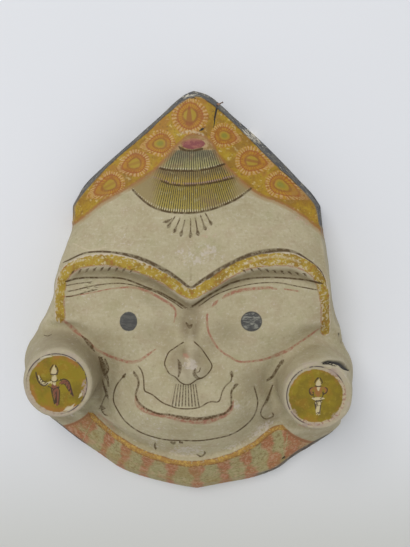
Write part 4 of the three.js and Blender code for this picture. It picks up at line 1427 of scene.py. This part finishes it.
HATCH_TOP = 383.5
HATCH_FOOT = 407.0
HATCH_LINES = 9
fall = (down - HATCH_TOP) / (HATCH_FOOT - HATCH_TOP)
hatch_side = (across - 185.2 + 0.5 * fall) / (10.8 + 4.4 * fall)
in_hatch = finish.step(abs(hatch_side), 1.03, 0.99) * finish.step(abs(fall - 0.5), 0.5, 0.46)
hatch = finish.step((hatch_side * (math.pi * HATCH_LINES)).sine(), -0.5, 0.5)
colour = finish.over(colour, paint(58, 42, 10), facing * in_hatch * hatch * 0.85 * worn)

PUPILS = [
    # across, down, half width, half height, how far it is rubbed pale
    (128.5, 321.5, 8.8, 9.8, 0.0),
    (251.5, 321.5, 10.4, 9.8, 1.0),
]
for a, d, wide, tall, pale in PUPILS:
    h = (across - a) / wide
    v = (down - d) / tall
    spot = finish.step(h * h + v * v + 0.3 * (fleck - 0.5), 1.1, 0.9) * facing
    scratch = finish.noise(260, 3, 0.7, stretch=(0.5, 1.6, 1))
    pupil = finish.over(
        paint(50, 52, 56), paint(134, 134, 124), (0.15 + 0.6 * pale) * finish.step(scratch, 0.47, 0.6)
    )
    colour = finish.over(colour, pupil, 0.93 * spot)
    rim_line = finish.step(abs(h * h + v * v - 0.95), 0.2, 0.08) * facing * pale
    colour = finish.over(colour, paint(58, 56, 54), 0.7 * rim_line)
print("face painted")

# %% [markdown]
# The chin band is a checker of faded red and green-yellow cells below a rubbed ochre ridge.

# %% Chin band
CELL_ROW = 11
cell, _, _ = finish.remembered("chin")
below_ridge = finish.step(chin_down, 1.2, 2.6) * finish.step(down, 404, 410)
cell = cell + 0.3 * (cloud - 0.5)
check = (cell * math.tau + math.pi / 2).sine()
rows = (chin_down * (math.pi / CELL_ROW)).sine()
speckle = fleck + 0.6 * (grit - 0.5)
redness = finish.step(check + 0.45 * rows + 2.4 * (patch - 0.5) + 1.6 * (fleck - 0.5), -0.15, 0.8)
checker = finish.over(paint(150, 140, 94), paint(156, 96, 58), redness)
checker = finish.over(checker, paint(184, 166, 132), 0.4 * finish.step(speckle, 0.5, 0.68))
pinkish = finish.step(patch + 0.4 * (fleck - 0.5), 0.54, 0.68)
checker = finish.over(checker, paint(178, 132, 108), 0.35 * pinkish)
checker = finish.over(checker, paint(116, 88, 48), 0.6 * finish.step(speckle, 0.44, 0.3))
checker = finish.over(checker, paint(140, 112, 52), 0.4 * finish.step(cloud, 0.46, 0.62))
LEFT_KNOB_REACH = 41.5
RIGHT_KNOB_REACH = 45.2
left_gap = finish.reach(across - LEFT_KNOB_VIEW[0], down - LEFT_KNOB_VIEW[1])
left_gap = left_gap - LEFT_KNOB_REACH
right_gap = finish.reach(across - RIGHT_KNOB_VIEW[0], down - RIGHT_KNOB_VIEW[1])
right_gap = right_gap - RIGHT_KNOB_REACH
past_knobs = finish.step(left_gap, -0.8, 0.8) * finish.step(right_gap, -0.8, 0.8) * (1 - on_knob)
near_chin = finish.step(chin_down, 60, 50) * past_knobs
left_end = finish.step(abs(left_gap - 1), 1.6, 0.4)
right_end = finish.step(abs(right_gap - 1.4), 2.2, 0.6)
end_line = left_end.most(right_end)
checker = finish.over(checker, paint(132, 84, 46), 0.8 * end_line)
colour = finish.over(colour, checker, 0.94 * below_ridge * near_chin)
ridge_off = chin_down - 0.4 + 2.4 * (patch - 0.5)
ridge_line = finish.step(abs(ridge_off), 3.4, 2.2) * finish.step(down, 404, 410) * past_knobs
ridge_paint = finish.over(paint(150, 108, 36), paint(122, 78, 34), finish.step(abs(ridge_off), 1.4, 2.6))
ridge_paint = finish.over(ridge_paint, paint(182, 148, 66), 0.7 * finish.step(speckle, 0.5, 0.62))
colour = finish.over(colour, ridge_paint, 0.92 * ridge_line * finish.step(grit, 0.24, 0.42))
print("chin painted")

# %% [markdown]
# The discs at the ends of the knobs carry a mustard ground, a thin black ring and a small figure.
# They wear at their rims first. Each layer is a ring round the knob's middle, with an edge that
# noise makes uneven.

# %% Ear discs
DISCS = [
    # ear, mustard's reach and shift, black ring's reach, the way it has lasted, how worn
    (LEFT_EAR, 0.0262, 0.0014, 0.0272, 50, 0.35),
    (RIGHT_EAR, 0.0245, -0.0006, 0.0266, 140, 1.0),
]
DISC_SHIFT = 0.0012
for centre, mustard_reach, mustard_shift, ring_reach, kept, wear in DISCS:
    h = object_x - float(centre[0]) + DISC_SHIFT
    v = object_y - float(centre[1])
    radius = finish.reach(h, v)
    top = finish.step(object_z, 0.098, 0.102)
    kept_side = (h * math.cos(math.radians(kept)) + v * math.sin(math.radians(kept))) / 0.03
    rough_radius = finish.reach(h - mustard_shift, v)
    rough_radius = rough_radius + 0.0022 * (fleck - 0.5) + 0.003 * (patch - 0.5)
    rim = top * finish.step(radius, 0.0316, 0.0304)
    rim_paint = finish.over(paint(156, 146, 122), paint(160, 146, 130), finish.step(patch, 0.45, 0.6))
    colour = finish.over(colour, rim_paint, 0.8 * rim * finish.step(fleck, 0.3, 0.5))
    crust_off = abs(rough_radius - mustard_reach - 0.0008)
    crust = finish.step(crust_off, 0.0021, 0.0008) * finish.step(kept_side, 0.6, -0.3)
    crust_paint = finish.over(paint(168, 152, 124), paint(142, 110, 94), finish.step(grit, 0.5, 0.4))
    colour = finish.over(colour, crust_paint, wear * top * crust)
    disc = finish.over(paint(128, 110, 8), paint(112, 94, 6), finish.step(cloud, 0.42, 0.6))
    disc = finish.over(disc, paint(140, 98, 16), 0.4 * finish.step(patch, 0.52, 0.66))
    disc = finish.over(disc, paint(158, 140, 56), 0.3 * finish.step(fleck, 0.54, 0.68))
    rusty = finish.step(rough_radius, 0.02, 0.025) * finish.step(patch + 0.3 * (fleck - 0.5), 0.42, 0.6)
    disc = finish.over(disc, paint(150, 92, 44), 0.6 * rusty)
    on_mustard = finish.step(rough_radius, mustard_reach, mustard_reach - 0.0009)
    colour = finish.over(colour, disc, top * on_mustard)
    lasted = finish.step(kept_side + 1.2 * (patch - 0.5), -0.75, -0.2) * finish.step(fleck, 0.34, 0.46)
    ring = finish.step(abs(radius - ring_reach), 0.00075, 0.0003) * lasted
    colour = finish.over(colour, paint(66, 54, 54), 0.9 * ring * top)
knob_top = finish.step(object_z, 0.104, 0.106)
scuffed = finish.step(blush, 0.45, 0.8) * knob_top
colour = finish.over(colour, paint(150, 132, 120), 0.85 * scuffed * finish.step(speckle, 0.36, 0.54))
figure_red = finish.over(paint(112, 62, 50), paint(138, 92, 46), finish.step(across, 180, 190))
colour = finish.over(colour, figure_red, finish.brush("figure_red", 0.3) * 0.9)
colour = finish.over(colour, paint(186, 172, 134), finish.brush("figure_pale", 0.3) * 0.9)
colour = finish.over(colour, paint(54, 40, 26), finish.brush("figure_line", 0.45, 1.1) * 0.92)
colour = finish.over(colour, paint(190, 182, 158), finish.brush("disc_chips", 0.7) * 0.8 * knob_top)
print("discs painted")

# %% [markdown]
# The wall of the crown and of the chin was left slate grey, and chips show the pale ground. The
# tear, the cracks and the small holes are painted near black, as painted shade inside them. The
# inside was never painted. These layers come last, because they lie over everything else.

# %% Slate edge, holes and the bare inside
left_lower = 16 * finish.step(across, 180, 160)
crown_wall = finish.step(crown_out, 0.6, -0.8) * finish.step(down + left_lower, 236, 222)
chin_wall = finish.step(chin_out, 0.2, 1.6) * finish.step(down, 415, 425)
mid_chin = finish.step(abs(across - 171), 78, 94)
mottle = finish.step(patch + 0.5 * (fleck - 0.5), 0.42, 0.62)
slate = finish.over(paint(36, 37, 39), paint(82, 79, 70), mottle)
slate = finish.over(slate, paint(112, 94, 46), 0.5 * finish.step(cloud + 0.5 * (grit - 0.5), 0.55, 0.68))
slate = finish.over(slate, paint(150, 140, 118), 0.7 * finish.step(fleck, 0.56, 0.66))
slate = finish.over(slate, paint(196, 188, 168), finish.step(fleck + 0.25 * chalk, 0.64, 0.7))
colour = finish.over(colour, slate, crown_wall)
wall_line = finish.step(abs(crown_out + 0.2 + 1.6 * (fleck - 0.5)), 1, 0.3)
wall_line = wall_line * finish.step(down + left_lower, 236, 222) * finish.step(patch, 0.36, 0.5)
colour = finish.over(colour, paint(34, 33, 30), 0.75 * wall_line)
colour = finish.over(colour, slate, chin_wall * mid_chin * 0.9)
above_wall = finish.step(object_z - 0.05 * finish.step(across, 300, 310), -0.006, 0)
# Painted shade: the tear, the cracks and the small holes are near black.
colour = finish.over(colour, paint(24, 20, 16), finish.brush("shaded_holes", 0.4) * above_wall)
bare = finish.over(paint(150, 128, 96), paint(116, 96, 70), finish.step(blotch, 0.35, 0.65))
bare = finish.over(bare, paint(176, 158, 126), finish.step(patch, 0.5, 0.7))
bare = finish.over(bare, paint(92, 74, 52), 0.6 * finish.step(fleck, 0.4, 0.3))
colour = finish.over(colour, bare, inside)

fibre = finish.noise(900, 3, 0.7, stretch=(0.5, 1, 1))
lumps = finish.noise(120, 4, 0.6)
height = 0.55 * lumps + 0.3 * fibre + 0.35 * grit + 0.12 * rib * in_fan_area * (1 - aside)
relief = finish.node(
    "ShaderNodeBump", {}, {"Strength": 0.4, "Distance": 0.0009, "Height": height}, out="Normal"
)
roughness = 0.78 - 0.16 * in_band + 0.1 * (fleck - 0.5)
finish.dress(mask, {"Base Color": colour, "Roughness": roughness, "Normal": relief})
print("nodes", len(finish.tree.nodes))

# %% [markdown]
# A curl of torn paper still stands up where the crack reaches the edge of the crown. It could be a
# Solidify modifier on a plane. Here a small grid is bent and given its thickness by an operator,
# and one end is set a little way into the wall, so that no gap shows.

# %% The torn scrap at the crack in the crown
SCRAP_LONG = 0.0078
SCRAP_WIDE = 0.0024
SCRAP_THICK = 0.0006
SCRAP_TURN = math.radians(24)
SCRAP_SET_BACK = Vector((-0.0012, -0.0006, -0.0004))
CRACK_MOUTH = (217.4, 104.6)
crack_mouth = np.hypot(ACROSS - CRACK_MOUTH[0], DOWN - CRACK_MOUTH[1])
crack_mouth[~FACING] = FAR
root_spot = Vector(points[int(np.argmin(crack_mouth))])
scrap_form = bmesh.new()
bmesh.ops.create_grid(scrap_form, x_segments=7, y_segments=3, size=0.5)
for vertex in scrap_form.verts:
    run = vertex.co.x + 0.5
    spread = vertex.co.y * SCRAP_WIDE * (1 - 0.55 * run + 0.3 * math.sin(7 * run))
    curl = 0.0016 * math.sin(2.6 * run) - 0.35 * spread
    vertex.co = (run * SCRAP_LONG, spread, curl)
bmesh.ops.recalc_face_normals(scrap_form, faces=scrap_form.faces[:])
bmesh.ops.solidify(scrap_form, geom=scrap_form.faces[:], thickness=SCRAP_THICK)
bmesh.ops.rotate(
    scrap_form, cent=(0, 0, 0), verts=scrap_form.verts[:],
    matrix=Matrix.Rotation(SCRAP_TURN, 3, "Z"),
)
bmesh.ops.translate(scrap_form, verts=scrap_form.verts[:], vec=root_spot + SCRAP_SET_BACK)
scrap = as_object(scrap_form, "torn_scrap")
torn = Finish("torn_paper")
torn_mottle = torn.step(torn.noise(500), 0.42, 0.6)
torn_paint = torn.over(paint(150, 118, 100), paint(92, 76, 62), torn_mottle)
torn.dress(scrap, {"Base Color": torn_paint, "Roughness": 0.85})
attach(scrap, "root")
print("scrap at", tuple(round(v, 4) for v in root_spot))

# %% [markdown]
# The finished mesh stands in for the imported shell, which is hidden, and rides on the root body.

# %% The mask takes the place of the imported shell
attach(mask, "root")
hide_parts("mask_shell")

# %% [markdown]
# The floor is a pale sheet, painted darker towards the bottom of the view as painted shade, and
# the light a plain soft one, high on the left, with a bright room round it. So the shadow falls
# softly to the right.

# %% Floor and light
sheet = bmesh.new()
bmesh.ops.create_grid(sheet, x_segments=8, y_segments=8, size=3)
floor = as_object(sheet, "floor")
plain = Finish("pale_floor")
floor_y = plain.node("ShaderNodeSeparateXYZ", {}, {0: plain.place}, out=1)
tint = plain.over(paint(214, 216, 220), paint(222, 223, 227), plain.noise(3, 2, 0.5))
# Painted shade: the sheet darkens towards the bottom of the view.
tint = plain.over(tint, paint(190, 190, 184), plain.step(floor_y, -0.08, -0.33))
plain.dress(floor, {"Base Color": tint, "Roughness": 0.9})

world = bpy.data.worlds.new("room")
world.use_nodes = True
world.node_tree.nodes["Background"].inputs["Color"].default_value = (0.96, 0.98, 1, 1)
world.node_tree.nodes["Background"].inputs["Strength"].default_value = 0.63
bpy.context.scene.world = world
lamp = bpy.data.lights.new("window", "AREA")
lamp.shape = "DISK"
lamp.size = 2.4
lamp.energy = 53
lamp.color = (1, 0.985, 0.96)
window = bpy.data.objects.new("window", lamp)
bpy.context.collection.objects.link(window)
window.location = (-0.9, 1.5, 3.3)
window.rotation_euler = (-window.location).to_track_quat("-Z", "Y").to_euler()
bpy.context.scene.view_settings.view_transform = "Standard"
print("floor and light in place")
